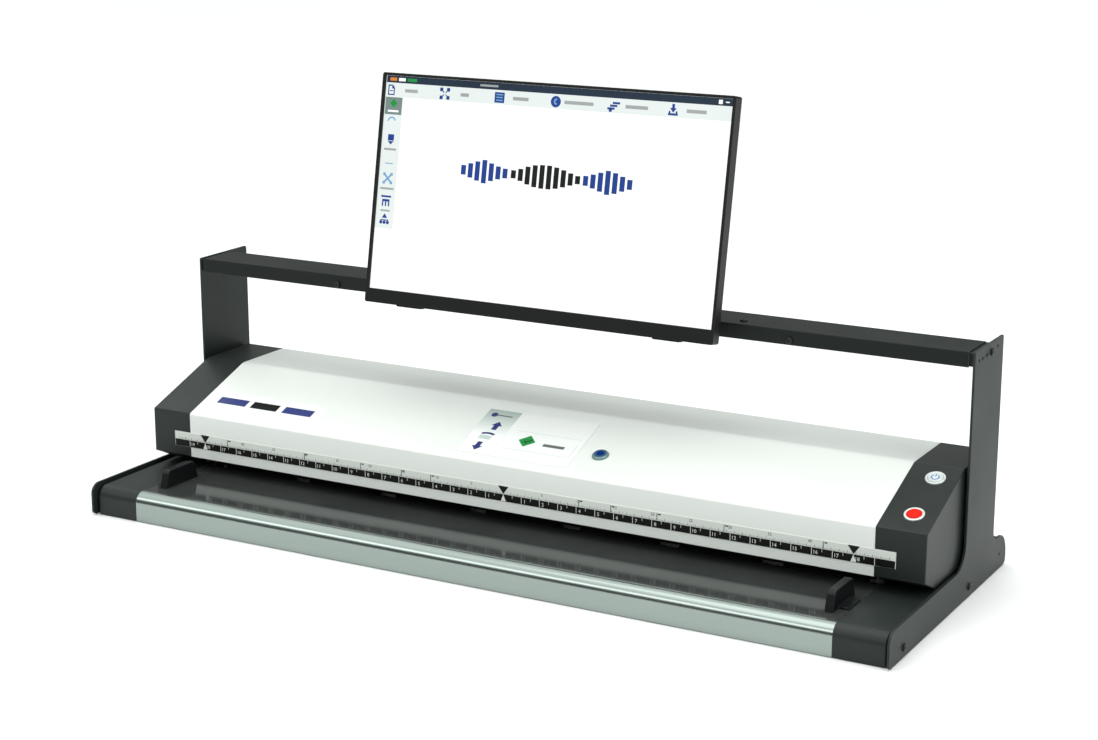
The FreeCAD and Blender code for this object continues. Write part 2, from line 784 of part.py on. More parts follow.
def head_caps():
    wall = d.cap_wall
    shell = profile("head_cap_shell", cap_outline(as_size(0)), d.cover_half, d.head_half,
                    {1: 3, 2: 8, 3: 5, 5: 6, 6: 6})
    soften_side(shell, d.head_half, 1.6)
    hollow = profile("head_cap_hollow", cap_outline(wall), d.cover_half - 2, d.head_half - wall)
    blank = cut("head_cap_blank", shell, hollow)
    keep(mirrored("head_cap_left", blank), "head_cap_left")
    drills = [slope_rod("button_drill", d.ring_radius - 1.4, -8, 4, d.button_across, along)
              for along in (d.power_along, d.stop_along)]
    keep(cut("head_cap_right", blank, fuse("button_drills", drills)), "head_cap_right")


def ruler_strip():
    front = back(d.head_front)
    keep(block("ruler_strip", (-d.ruler_half, front - 1.0, d.ruler_low), (d.ruler_half, front, d.ruler_high)),
         "ruler_strip")


def touch_panel():
    gap = 0.25
    glass = slope_block("touch_panel", (d.panel_left + gap, d.panel_low + gap, -1.8),
                        (d.panel_right - gap, d.panel_high - gap, 0.3))
    keep(glass, "touch_panel")
    case = slope_block("panel_housing", (d.panel_left + 3, d.panel_low + 3, -14),
                       (d.panel_right - 3, d.panel_high - 3, -1.85))
    keep(case, "panel_housing")


def status_dome():
    disc = slope_rod("dome_disc", 10.8, 0, 3.4, d.dome_across, d.dome_along)
    doc.recompute()
    top = max(range(len(disc.Shape.Edges)), key=lambda n: rim_height(disc, n))
    dome = doc.addObject("Part::Fillet", "status_dome")
    dome.Base = disc
    dome.Edges = [(top + 1, 3.2, 3.2)]
    keep(dome, "status_dome")


def push_buttons():
    rings = []
    for name, along in (("power", d.power_along), ("stop", d.stop_along)):
        bore = d.button_radius + d.fit_gap
        flange = slope_rod(name + "_flange", d.ring_radius, 0, 2.0, d.button_across, along)
        barrel = slope_rod(name + "_barrel", d.ring_radius - 1.5, -14, 0, d.button_across, along)
        hole = slope_rod(name + "_hole", bore, -12.5, 4, d.button_across, along)
        rings.append(cut(name + "_ring", fuse(name + "_ring_solid", [flange, barrel]), hole))
        plunger = slope_rod(name + "_plunger", d.button_radius, -10, 2.8, d.button_across, along)
        doc.recompute()
        top = max(range(len(plunger.Shape.Edges)), key=lambda n: rim_height(plunger, n))
        button = doc.addObject("Part::Fillet", name + "_button")
        button.Base = plunger
        button.Edges = [(top + 1, 0.9, 0.9)]
        keep(button, name + "_button")
    keep(group("button_rings", rings), "button_rings")


def head_chassis():
    front, rear = 142.0, 322.0
    top, under, low = 74.0, 72.0, 56.0
    corners = [(back(front), low), (back(front), top), (back(rear), top), (back(rear), low),
               (back(rear - 2), low), (back(rear - 2), under), (back(front + 2), under), (back(front + 2), low)]
    channel = profile("head_channel", corners, -478, 478)
    wings = [block("head_wing", (low_x, back(150), under), (high_x, back(314), top))
             for low_x, high_x in ((-532, -478), (478, 532))]
    ends = []
    for left in (-478, 476):
        cheek = block("head_cheek", (left, back(146), 43), (left + 2, back(318), under))
        bores = [rod("idler_bore", d.idler_shaft_radius + d.running_gap, 6,
                     (left - 2, back(distance), d.idler_axis_height))
                 for distance in (d.front_roller_back, d.rear_roller_back)]
        ends.append(cut("head_end", cheek, fuse("idler_bores", bores)))
    keep(fuse("head_chassis", [channel] + wings + ends), "head_chassis")


def baffles():
    """Two sloping sheets that lead the paper under the idlers and out again."""
    thick = 1.5
    front = [(back(121.2), 58.5), (back(121.2), 57.0), (back(151), 41.5), (back(154), 41.5),
             (back(154), 43.0), (back(151.3), 43.0)]
    rear = [(back(330.3), 57.0), (back(330.3), 58.5), (back(298.7), 43.0), (back(296), 43.0),
            (back(296), 43.0 - thick), (back(299), 41.5)]
    sheets = [profile("front_baffle", front, -474, 474), profile("rear_baffle", rear, -474, 474)]
    keep(group("paper_baffles", sheets), "paper_baffles")


SENSOR_LENGTH = 205.0
SENSOR_PITCH = 183.0


def optics():
    glass = block("scan_glass", (-472, back(182), 39.6), (472, back(268), 42.6))
    keep(glass, "scan_glass")
    modules = []
    for index in range(-2, 3):
        front = 200 if index % 2 == 0 else 228
        left = index * SENSOR_PITCH - SENSOR_LENGTH / 2
        modules.append(block("sensor_module", (left, back(front), 42.7),
                             (left + SENSOR_LENGTH, back(front + 24), 61)))
    keep(group("image_sensors", modules), "image_sensors")


def idlers():
    for name, distance in (("front", d.front_roller_back), ("rear", d.rear_roller_back)):
        centre = (back(distance), d.idler_axis_height)
        keep(rod(name + "_idler_shaft", d.idler_shaft_radius, 958, (-479,) + centre), name + "_idler_shaft")
        tyres = []
        for across in SLEEVE_CENTRES:
            tyre = rod("tyre", d.idler_radius, 40, (across - 20,) + centre)
            bore = rod("tyre_bore", d.idler_shaft_radius + 0.02, 44, (across - 22,) + centre)
            tyres.append(cut("idler_tyre", tyre, bore))
        keep(group(name + "_idler_tyres", tyres), name + "_idler_tyres")


HINGE_CENTRES = (-515.0, 515.0)


def head_hinges():
    pivot = (back(d.hinge_back), d.hinge_height)
    brackets, pins, arms = [], [], []
    for centre in HINGE_CENTRES:
        ears = [block("hinge_foot", (centre - 15, back(338), d.table_height),
                      (centre + 15, back(372), d.table_height + 2))]
        for left in (centre - 15, centre + 12):
            ears.append(block("hinge_ear", (left, pivot[0] - 8, d.table_height + 2),
                              (left + 3, pivot[0] + 8, pivot[1])))
            ears.append(rod("hinge_ear_eye", 8, 3, (left,) + pivot))
        hole = rod("hinge_ear_hole", d.hinge_pin_radius + 0.02, 40, (centre - 20,) + pivot)
        brackets.append(cut("hinge_bracket", fuse("hinge_bracket_solid", ears), hole))
        pins.append(fuse("hinge_pin", [
            rod("hinge_pin_rod", d.hinge_pin_radius, 32, (centre - 15.5,) + pivot),
            rod("hinge_pin_head", 5, 1.8, (centre - 17.3,) + pivot),
        ]))
        arm = fuse("hinge_arm_solid", [
            block("hinge_arm_flange", (centre - 11, back(d.head_rear + 0.1), 58),
                  (centre + 11, back(d.head_rear + 3.1), 95)),
            block("hinge_arm_bar", (centre - 11, back(d.head_rear + 0.1), 46), (centre + 11, pivot[0], 58)),
            rod("hinge_arm_eye", 7.6, 22, (centre - 11,) + pivot),
        ])
        bore = rod("hinge_arm_bore", d.hinge_pin_radius + d.running_gap, 30, (centre - 15,) + pivot)
        arms.append(cut("hinge_arm", arm, bore))
    keep(group("hinge_brackets", brackets), "hinge_brackets")
    keep(group("hinge_pins", pins), "hinge_pins")
    keep(group("hinge_arms", arms), "hinge_arms")
    rests = [block("rest_pad", (centre - 12, back(200), d.table_height),
                   (centre + 12, back(240), d.throat_height - d.fit_gap)) for centre in HINGE_CENTRES]
    keep(group("head_rests", rests), "head_rests")


# ------------------------------------------------------------------ paper guides

def paper_guides():
    low = d.table_height + 0.2
    high = low + d.guide_height
    lead = 7.0
    corners = [(back(d.guide_front), low), (back(d.guide_front + lead), high),
               (back(d.guide_rear - lead), high), (back(d.guide_rear), low)]
    outer = d.guide_inner + d.guide_thick
    fence = profile("guide_fence", corners, d.guide_inner, outer, {1: 7, 2: 7})
    soften_side(fence, outer, 1.5)
    foot = block("guide_foot", (outer - 1, back(50), low), (outer + 12, back(86), low + 2.6))
    right = keep(fuse("paper_guide_right", [fence, foot]), "paper_guide_right")
    keep(mirrored("paper_guide_left", right), "paper_guide_left")


# ------------------------------------------------------------------ monitor and stand

LEAN_TURN = FreeCAD.Rotation(FreeCAD.Vector(1, 0, 0), -MONITOR_LEAN)
LEAN_COS = math.cos(math.radians(MONITOR_LEAN))
LEAN_SIN = math.sin(math.radians(MONITOR_LEAN))


def on_monitor(across, depth, along):
    """A point in the leaning monitor: across, depth behind its face, height along it."""
    depth, along = as_size(depth), as_size(along)
    return (across,
            back(d.monitor_back) + depth * LEAN_COS + along * LEAN_SIN,
            d.monitor_bottom - depth * LEAN_SIN + along * LEAN_COS)


def monitor_block(name, low, high):
    solid = doc.addObject("Part::Box", name)
    for prop, start, end in zip(("Length", "Width", "Height"), low, high):
        solid.setExpression(prop, (as_size(end) - start).rule)
    place(solid, on_monitor(*low), LEAN_TURN)
    return solid


def soft_corners(name, box, radius):
    """Round the four corners of a leaning slab."""
    doc.recompute()
    way = LEAN_TURN.multVec(FreeCAD.Vector(0, 1, 0))
    chosen = []
    for number, edge in enumerate(box.Shape.Edges, start=1):
        span = edge.Vertexes[-1].Point - edge.Vertexes[0].Point
        if abs(span.normalize().dot(way)) > 0.999:
            chosen.append((number, radius, radius))
    rounded = doc.addObject("Part::Fillet", name)
    rounded.Base = box
    rounded.Edges = chosen
    return rounded


def monitor():
    half, tall, edge = d.monitor_half, d.monitor_height, d.monitor_edge
    frame = soft_corners("bezel_slab", monitor_block("bezel_box", (-half, 0, 0), (half, 3, tall)), 3.0)
    window = monitor_block("bezel_window", (-d.screen_half, -1, d.screen_low), (d.screen_half, 4, d.screen_high))
    keep(cut("monitor_bezel", frame, window), "monitor_bezel")
    keep(monitor_block("display_panel", (-d.screen_half - 1.5, 3.1, d.screen_low - 2),
                       (d.screen_half + 1.5, 9, d.screen_high + 0.7)), "display_panel")
    slab = soft_corners("back_slab", monitor_block("back_box", (-half, 3, 0), (half, edge, tall)), 3.0)
    bulge = doc.addObject("Part::Wedge", "back_bulge")
    for prop, value in (("Xmin", -170), ("Xmax", 170), ("Ymin", 0), ("Ymax", 24.3), ("Zmin", 40),
                        ("Zmax", 250), ("X2min", -140), ("X2max", 140), ("Z2min", 65), ("Z2max", 225)):
        setattr(bulge, prop, value)
    place(bulge, on_monitor(0, edge, 0), LEAN_TURN)
    hollow = monitor_block("back_hollow", (-half + 2.5, 2, 2.5), (half - 2.5, edge - 2.5, tall - 2.5))
    tabs = [monitor_block("chin_tab", (across - 18, 4, -2), (across + 18, 14, 0.5)) for across in (-182, 182)]
    back_shell = cut("monitor_back_shell", fuse("monitor_back_solid", [slab, bulge]), hollow)
    keep(fuse("monitor_back", [back_shell] + tabs), "monitor_back")


VESA_HALF = 50.0
BULGE_DEPTH = 42.0


def tilt_mount():
    axis = on_monitor(0, d.tilt_depth, d.tilt_along)[1:]
    plate = monitor_block("tilt_plate_sheet", (-60, BULGE_DEPTH + 0.1, d.tilt_along - 60),
                          (60, BULGE_DEPTH + 2.6, d.tilt_along + 60))
    web = monitor_block("tilt_plate_web", (-30, BULGE_DEPTH + 2, d.tilt_along - 6),
                        (30, d.tilt_depth, d.tilt_along + 6))
    barrel = rod("tilt_barrel", 8, 60, (-30,) + axis)
    bore = rod("tilt_bore", d.tilt_pin_radius + d.running_gap, 70, (-35,) + axis)
    drills, screws = [], []
    turn = LEAN_TURN.multiply(AXIS_TURNS["+y"])
    for across in (-VESA_HALF, VESA_HALF):
        for rise in (-VESA_HALF, VESA_HALF):
            start = on_monitor(across, BULGE_DEPTH + 2.6, d.tilt_along + rise)
            way = turn.multVec(FreeCAD.Vector(0, 0, 1))
            drills.append(rod("vesa_drill", 2.2, 6, shifted(start, way, -4), turn))
            screws.append(screw("vesa_screw", start, turn, 3.6, 2.2, 2.0, 2.4))
    solid = fuse("tilt_plate_solid", [plate, web, barrel])
    keep(cut("tilt_plate", solid, fuse("tilt_drills", drills + [bore])), "tilt_plate")
    keep(group("vesa_screws", screws), "vesa_screws")
    pin = fuse("tilt_pin_solid", [rod("tilt_pin_rod", d.tilt_pin_radius, 76, (-37,) + axis),
                                  rod("tilt_pin_knob", 7, 5, (37,) + axis),
                                  rod("tilt_pin_cap", 6, 2, (-39,) + axis)])
    keep(pin, "tilt_pin")
    stand(axis)


def stand(axis):
    """The post bolted to the crossbar that holds the tilt pin between two ears."""
    top = d.upright_height
    solids = [
        block("stand_foot", (-70, back(240), top), (70, back(293), top + STAND_FOOT)),
        block("stand_post", (-35, back(287), top + STAND_FOOT), (35, back(291), axis[1] + 14)),
    ]
    for left in (-34, 31):
        solids.append(block("stand_ear", (left, axis[0], axis[1] - 12), (left + 3, back(287), axis[1] + 12)))
        solids.append(rod("stand_ear_eye", 9, 3, (left,) + axis))
        solids.append(block("stand_gusset", (left, back(262), top + STAND_FOOT), (left + 3, back(287), top + 30)))
    hole = rod("stand_hole", d.tilt_pin_radius + 0.02, 90, (-45,) + axis)
    drills = [rod("stand_drill", SCREW_HOLE, 5, shifted(spot, (0, 0, 1), -4), "+z")
              for spot in stand_screw_spots()]
    keep(cut("monitor_stand", fuse("stand_solid", solids), fuse("stand_holes", [hole] + drills)),
         "monitor_stand")


# ------------------------------------------------------------------ assembly and export

def build():
    side_plate()
    side_screws()
    crossbar()
    base_chassis()
    front_bar()
    decks()
    base_caps()
    rear_panel()
    power_inlet()
    data_sockets()
    electronics()
    drive_rollers()
    bearings()
    motor()
    drive_belt()
    head_cover()
    head_caps()
    ruler_strip()
    touch_panel()
    status_dome()
    push_buttons()
    head_chassis()
    baffles()
    optics()
    idlers()
    head_hinges()
    paper_guides()
    monitor()
    tilt_mount()
    doc.recompute()


def check():
    """Stop if any object failed or any sub-part is empty or broken."""
    for item in doc.Objects:
        bad = [state for state in item.State if state in ("Invalid", "Error")]
        if bad:
            raise RuntimeError("%s (%s) is %s" % (item.Name, item.Label, bad))
    for piece in pieces:
        if piece.Shape.isNull() or not piece.Shape.isValid() or not piece.Shape.Solids:
            raise RuntimeError("%s has no sound solid" % piece.Label)


def export():
    os.makedirs("parts", exist_ok=True)
    for piece in pieces:
        piece.Shape.exportStep("parts/%s.step" % piece.Label)
        box = piece.Shape.BoundBox
        print("%-22s %2d solids  x %8.1f %8.1f  y %7.1f %7.1f  z %6.1f %6.1f" % (
            piece.Label, len(piece.Shape.Solids), box.XMin, box.XMax, box.YMin, box.YMax, box.ZMin, box.ZMax))
    print(len(pieces), "sub-parts")


build()
check()
export()
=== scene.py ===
import math

import bmesh
import bpy
from mathutils import Matrix, Vector


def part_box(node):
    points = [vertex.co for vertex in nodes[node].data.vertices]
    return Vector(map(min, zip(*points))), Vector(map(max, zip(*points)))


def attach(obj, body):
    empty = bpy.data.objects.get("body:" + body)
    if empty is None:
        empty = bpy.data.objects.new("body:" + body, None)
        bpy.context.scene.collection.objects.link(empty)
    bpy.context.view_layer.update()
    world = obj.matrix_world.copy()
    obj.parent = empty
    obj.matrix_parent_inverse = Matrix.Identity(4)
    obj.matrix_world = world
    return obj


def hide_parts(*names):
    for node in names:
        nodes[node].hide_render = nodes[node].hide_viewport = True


# A wide-format document scanner on its mounting frame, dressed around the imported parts.
# Metres, +Z up, +X to the machine's right, the user stands at -Y.

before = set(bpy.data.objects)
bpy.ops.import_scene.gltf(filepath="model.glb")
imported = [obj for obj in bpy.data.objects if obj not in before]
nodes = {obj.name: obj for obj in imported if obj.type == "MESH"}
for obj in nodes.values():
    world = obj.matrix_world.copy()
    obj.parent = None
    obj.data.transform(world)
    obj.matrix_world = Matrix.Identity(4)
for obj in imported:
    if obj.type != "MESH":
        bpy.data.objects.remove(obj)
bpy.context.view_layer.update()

MM = 0.001
CLOSE = 0.02 * MM               # corners this near to a place count as on it

# ---------------------------- driving sizes

FACE_RUN = 119.5 * MM           # control face, front edge to crown, level
FACE_RISE = 43.7 * MM           # and upright
SLOPE = math.atan2(FACE_RISE, FACE_RUN)
SLOPE_TURN = math.degrees(SLOPE)
LEAN = math.radians(10.5)       # monitor, back from upright
NOSE_RADIUS = 15 * MM           # front edge of the base
PLATE_THICK = 3 * MM
ARM_HEIGHT = 42.3 * MM          # frame plate, before its upright
TAIL_HEIGHT = 43.5 * MM         # and behind it
UPRIGHT_DEPTH = 102.2 * MM
PLATE_HOLE_RADIUS = 2 * MM
# Unused holes of the frame plate: millimetres behind the base's front face, and up.
PLATE_HOLES = ((251.0, 286.0), (263.0, 286.0), (279.0, 286.5), (317.0, 289.5), (364.6, 20.3))
BAR_DEPTH = 60 * MM             # crossbar channel
SHEET = 1.8 * MM
STAINLESS_SKIN = 1.5 * MM
CAP_WALL = 2.5 * MM
COVER_WALL = 3 * MM


# ---------------------------- modelling by hand

def side_box(stem, side):
    """The name of the right or left node, its box, and its outer and inner X."""
    name = stem + ("right" if side > 0 else "left")
    low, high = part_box(name)
    outer, inner = (high.x, low.x) if side > 0 else (low.x, high.x)
    return name, low, high, outer, inner


def alone(piece):
    """Make one piece the only selected and active object."""
    bpy.ops.object.select_all(action="DESELECT")
    piece.select_set(True)
    bpy.context.view_layer.objects.active = piece


def open_edit(piece, everything=False):
    """Start editing with nothing or everything selected."""
    alone(piece)
    bpy.ops.object.mode_set(mode="EDIT")
    bpy.ops.mesh.select_all(action="SELECT" if everything else "DESELECT")


def close_edit():
    bpy.ops.object.mode_set(mode="OBJECT")


def on(points, **places):
    """Whether all these corners lie on the given coordinates."""
    return all(abs(getattr(point, axis) - value) < CLOSE
               for axis, value in places.items() for point in points)


def between(points, front, rear):
    """Whether all these corners lie between two depths."""
    return all(front - CLOSE < point.y < rear + CLOSE for point in points)


def choose(kind, test):
    """In edit mode, select the corners, edges or faces whose corners pass a test."""
    bpy.ops.mesh.select_mode(type=kind)
    bpy.ops.mesh.select_all(action="DESELECT")
    data = bpy.context.edit_object.data
    mesh = bmesh.from_edit_mesh(data)
    items = {"VERT": mesh.verts, "EDGE": mesh.edges, "FACE": mesh.faces}[kind]
    for item in items:
        points = [item.co] if kind == "VERT" else [corner.co for corner in item.verts]
        if test(points):
            item.select_set(True)
    mesh.select_flush_mode()
    bmesh.update_edit_mesh(data)


def block(name, low, high):
    """A block between two corners, with its place in its mesh."""
    low, high = Vector(low), Vector(high)
    bpy.ops.object.select_all(action="DESELECT")
    bpy.ops.mesh.primitive_cube_add(size=1, location=(low + high) / 2, scale=high - low)
    return place_applied(name)


def place_applied(name):
    piece = bpy.context.active_object
    piece.name = name
    bpy.ops.object.transform_apply(location=True, rotation=True, scale=True)
    return piece


def drum(name, radius, low, high, sides=48, centre=(0, 0)):
    """A round block standing on Z."""
    bpy.ops.object.select_all(action="DESELECT")
    bpy.ops.mesh.primitive_cylinder_add(vertices=sides, radius=radius, depth=high - low,
                                        location=(centre[0], centre[1], (low + high) / 2))
    return place_applied(name)


def round_edges(piece, test, radius, turn=90.0, segments=6):
    """Round edges to a radius; turn is the angle the surface turns through there."""
    open_edit(piece)
    choose("EDGE", test)
    reach = radius * math.tan(math.radians(turn) / 2)
    bpy.ops.mesh.bevel(offset=reach, segments=segments, affect="EDGES", profile=0.5)
    close_edit()


def merge_flats(piece):
    """Join faces that lie in one plane."""
    open_edit(piece, everything=True)
    bpy.ops.mesh.dissolve_limited(angle_limit=math.radians(0.4))
    close_edit()


def slice_at(piece, point, normal, keep_below=False):
    """Cut along a plane; keep_below drops what lies beyond it and closes the cut."""
    open_edit(piece, everything=True)
    bpy.ops.mesh.bisect(plane_co=point, plane_no=normal, use_fill=keep_below, clear_outer=keep_below)
    close_edit()


def drop_faces(piece, test):
    open_edit(piece)
    choose("FACE", test)
    bpy.ops.mesh.delete(type="FACE")
    close_edit()


def apply_modifier(piece, kind, **settings):
    alone(piece)
    bpy.ops.object.modifier_add(type=kind)
    modifier = piece.modifiers[-1]
    for name, value in settings.items():
        setattr(modifier, name, value)
    bpy.ops.object.modifier_apply(modifier=modifier.name)


def give_wall(piece, thickness):
    """Turn an open skin into a sheet whose thickness goes inwards."""
    apply_modifier(piece, "SOLIDIFY", thickness=thickness, offset=-1, use_even_offset=True)


def carve(piece, *cutters):
    for cutter in cutters:
        apply_modifier(piece, "BOOLEAN", object=cutter, operation="DIFFERENCE", solver="EXACT")
        bpy.data.objects.remove(cutter)


def add_on(piece, *others):
    """Join separate solids into one piece."""
    alone(piece)
    for other in others:
        other.select_set(True)
    bpy.ops.object.join()
    return piece


def turn_into_place(piece, matrix):
    """Move a piece modelled on its own axes to its real place."""
    piece.matrix_world = matrix @ piece.matrix_world
    alone(piece)
    bpy.ops.object.transform_apply(location=True, rotation=True, scale=True)
    return piece


def install(piece, body, slot, replaced=(), finish=None, sharp=34):
    """Smooth, paint and hang a finished piece on its body."""
    alone(piece)
    bpy.ops.object.shade_smooth_by_angle(angle=math.radians(sharp))
    apply_modifier(piece, "WEIGHTED_NORMAL", keep_sharp=True, weight=80)
    piece.data.materials.clear()
    piece.data.materials.append(finish or finishes[slot])
    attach(piece, body)
    if replaced:
        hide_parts(*replaced)
    return piece


# ---------------------------- finishes: shared effects

def tone(red, green, blue):
    """A paint colour given in steps of 255, as linear light."""
    def linear(step):
        share = step / 255
        return share / 12.92 if share <= 0.04045 else ((share + 0.055) / 1.055) ** 2.4
    return (linear(red), linear(green), linear(blue), 1.0)


def scaled(colour, factor):
    return tuple(min(channel * factor, 1.0) for channel in colour[:3]) + (1.0,)


class Mixer:
    """Short calls that add and join the nodes of one tree."""

    def __init__(self, tree):
        self.tree = tree

    def add(self, kind, values=None, **settings):
        node = self.tree.nodes.new(kind)
        for name, value in settings.items():
            setattr(node, name, value)
        for socket, value in (values or {}).items():
            self.feed(node.inputs[socket], value)
        return node

    def feed(self, socket, value):
        if isinstance(value, bpy.types.NodeSocket):
            self.tree.links.new(value, socket)
        else:
            socket.default_value = value

    def math(self, operation, first, second=0.0, clamp=False):
        node = self.add("ShaderNodeMath", {0: first, 1: second}, operation=operation, use_clamp=clamp)
        return node.outputs[0]

    def spread(self, value, low, high, to_low=0.0, to_high=1.0):
        """Map a value's range onto another, clamped."""
        return self.add("ShaderNodeMapRange", {"Value": value, "From Min": low, "From Max": high,
                                               "To Min": to_low, "To Max": to_high}).outputs[0]

    def blend(self, share, first, second):
        node = self.add("ShaderNodeMix", {0: share, 6: first, 7: second}, data_type="RGBA")
        return node.outputs[2]

    def noise(self, scale, detail=2.0, vector=None, roughness=0.5):
        values = {"Scale": scale, "Detail": detail, "Roughness": roughness}
        values["Vector"] = vector or self.place()
        return self.add("ShaderNodeTexNoise", values).outputs[0]

    def place(self):
        return self.add("ShaderNodeTexCoord").outputs["Object"]

    def effect(self, group, values):
        return self.add("ShaderNodeGroup", values, node_tree=group)


def start_effect(name, inputs, outputs):
    """A node group with named number inputs and outputs."""
    tree = bpy.data.node_groups.new(name, "ShaderNodeTree")
    for label, value in inputs.items():
        socket = tree.interface.new_socket(label, in_out="INPUT", socket_type="NodeSocketFloat")
        socket.default_value = value
    for label in outputs:
        tree.interface.new_socket(label, in_out="OUTPUT", socket_type="NodeSocketFloat")
    mixer = Mixer(tree)
    return mixer, mixer.add("NodeGroupInput").outputs, mixer.add("NodeGroupOutput").inputs


def grain_effect():
    """Fine surface texture, and a slow drift of tone across the piece."""
    mixer, given, result = start_effect("fine_grain", {"Grain": 900.0, "Drift": 8.0}, ("Height", "Tone"))
    fine = mixer.noise(given["Grain"], 3.0, roughness=0.6)
    slow = mixer.noise(given["Drift"], 3.0)
    mixer.feed(result["Height"], fine)
    mixer.feed(result["Tone"], mixer.spread(slow, 0.12, 0.88))
    return mixer.tree


def wear_effect():
    """A mask of exposed edges, broken up so that they look handled."""
    mixer, given, result = start_effect("handled_edges", {"Width": 0.0008, "Amount": 0.5}, ("Mask",))
    soft = mixer.add("ShaderNodeBevel", {"Radius": given["Width"]}, samples=4).outputs[0]
    hard = mixer.add("ShaderNodeNewGeometry").outputs["Normal"]
    match = mixer.add("ShaderNodeVectorMath", {0: soft, 1: hard}, operation="DOT_PRODUCT")
    edge = mixer.spread(match.outputs["Value"], 0.995, 0.86)
    patches = mixer.spread(mixer.noise(60.0, 3.0), 0.35, 0.62, 0.35, 1.0)
    mixer.feed(result["Mask"], mixer.math("MULTIPLY", mixer.math("MULTIPLY", edge, patches), given["Amount"]))
    return mixer.tree


def dust_effect():
    """A faint film on faces that look up."""
    mixer, given, result = start_effect("settled_dust", {"Amount": 0.1}, ("Mask",))
    normal = mixer.add("ShaderNodeNewGeometry").outputs["Normal"]
    upward = mixer.add("ShaderNodeSeparateXYZ", {0: normal}).outputs["Z"]
    film = mixer.spread(mixer.noise(14.0, 4.0), 0.3, 0.75)
    lying = mixer.math("MULTIPLY", mixer.spread(upward, 0.55, 1.0), film)
    mixer.feed(result["Mask"], mixer.math("MULTIPLY", lying, given["Amount"]))
    return mixer.tree


def brush_effect():
    """Long fine scratches along X."""
    mixer, given, result = start_effect("brush_lines", {"Density": 2200.0}, ("Height", "Tone"))
    along = mixer.add("ShaderNodeMapping", {"Vector": mixer.place(), "Scale": (0.012, 1.0, 1.0)}).outputs[0]
    fine = mixer.noise(given["Density"], 2.0, along)
    broad = mixer.noise(mixer.math("MULTIPLY", given["Density"], 0.12), 2.0, along)
    both = mixer.math("ADD", mixer.math("MULTIPLY", fine, 0.6), mixer.math("MULTIPLY", broad, 0.4))
    mixer.feed(result["Height"], fine)
    mixer.feed(result["Tone"], mixer.spread(both, 0.2, 0.8))
    return mixer.tree


GRAIN = grain_effect()
HANDLED = wear_effect()
DUST = dust_effect()
BRUSH = brush_effect()
DUST_COLOUR = tone(176, 178, 172)


# ---------------------------- finishes: the materials

finishes = {}


def start_finish(name, roughness, metallic=0.0, **shader_values):
    """A new material in the list of finishes, with its mixer and its shader."""
    material = bpy.data.materials.new(name)
    finishes[name] = material
    material.use_nodes = True
    mixer = Mixer(material.node_tree)
    shader = material.node_tree.nodes["Principled BSDF"]
    shader.inputs["Roughness"].default_value = roughness
    shader.inputs["Metallic"].default_value = metallic
    for socket, value in shader_values.items():
        shader.inputs[socket.replace("_", " ")].default_value = value
    return material, mixer, shader


def surface(name, colour, roughness, metallic=0.0, grain=900.0, depth=0.02, drift=8.0, vary=0.06,
            wear=0.0, worn=None, wear_width=0.8, dust=0.0, **shader_values):
    """A moulded, painted or machined finish: drifting tone, fine texture, handled edges, dust."""
    material, mixer, shader = start_finish(name, roughness, metallic, **shader_values)
    texture = mixer.effect(GRAIN, {"Grain": grain, "Drift": drift})
    paint = mixer.blend(texture.outputs["Tone"], scaled(colour, 1 - vary), scaled(colour, 1 + vary))
    if wear:
        edges = mixer.effect(HANDLED, {"Width": wear_width * MM, "Amount": wear})
        paint = mixer.blend(edges.outputs["Mask"], paint, worn or scaled(colour, 2.2))
    if dust:
        film = mixer.effect(DUST, {"Amount": dust})
        paint = mixer.blend(film.outputs["Mask"], paint, DUST_COLOUR)
    mixer.feed(shader.inputs["Base Color"], paint)
    rough = mixer.spread(texture.outputs["Tone"], 0.0, 1.0, roughness * 0.88, min(roughness * 1.12, 1.0))
    mixer.feed(shader.inputs["Roughness"], rough)
    bump = mixer.add("ShaderNodeBump", {"Height": texture.outputs["Height"], "Distance": depth * MM,
                                        "Strength": 0.6})
    mixer.feed(shader.inputs["Normal"], bump.outputs[0])
    return material


def brushed(name, colour, roughness, density=2200.0, vary=0.1):
    """Metal brushed along its length."""
    material, mixer, shader = start_finish(name, roughness, 1.0)
    lines = mixer.effect(BRUSH, {"Density": density})
    tint = mixer.blend(lines.outputs["Tone"], scaled(colour, 1 - vary), scaled(colour, 1 + vary))
    mixer.feed(shader.inputs["Base Color"], tint)
    rough = mixer.spread(lines.outputs["Tone"], 0.0, 1.0, roughness * 0.75, roughness * 1.25)
    mixer.feed(shader.inputs["Roughness"], rough)
    bump = mixer.add("ShaderNodeBump", {"Height": lines.outputs["Height"], "Distance": 0.01 * MM,
                                        "Strength": 0.5})
    mixer.feed(shader.inputs["Normal"], bump.outputs[0])
    return material


def lit(name, colour, strength=1.0, vary=0.02, roughness=0.25):
    """A patch of a lit display under its cover glass: the backlight is slightly uneven."""
    material, mixer, shader = start_finish(name, roughness, 0.0)
    shader.inputs["Emission Strength"].default_value = strength
    glow = mixer.spread(mixer.noise(7.0, 1.0), 0.3, 0.7)
    mixer.feed(shader.inputs["Emission Color"],
               mixer.blend(glow, scaled(colour, 1 - vary), scaled(colour, 1 + vary)))
    shade = mixer.spread(mixer.noise(9.0, 1.0), 0.3, 0.7)
    mixer.feed(shader.inputs["Base Color"], mixer.blend(shade, scaled(colour, 0.10), scaled(colour, 0.13)))
    return material


def ink(name, colour, roughness, vary, depth=0.005, **shader_values):
    """A printed mark, nearly flat."""
    return surface(name, colour, roughness, depth=depth, vary=vary, **shader_values)


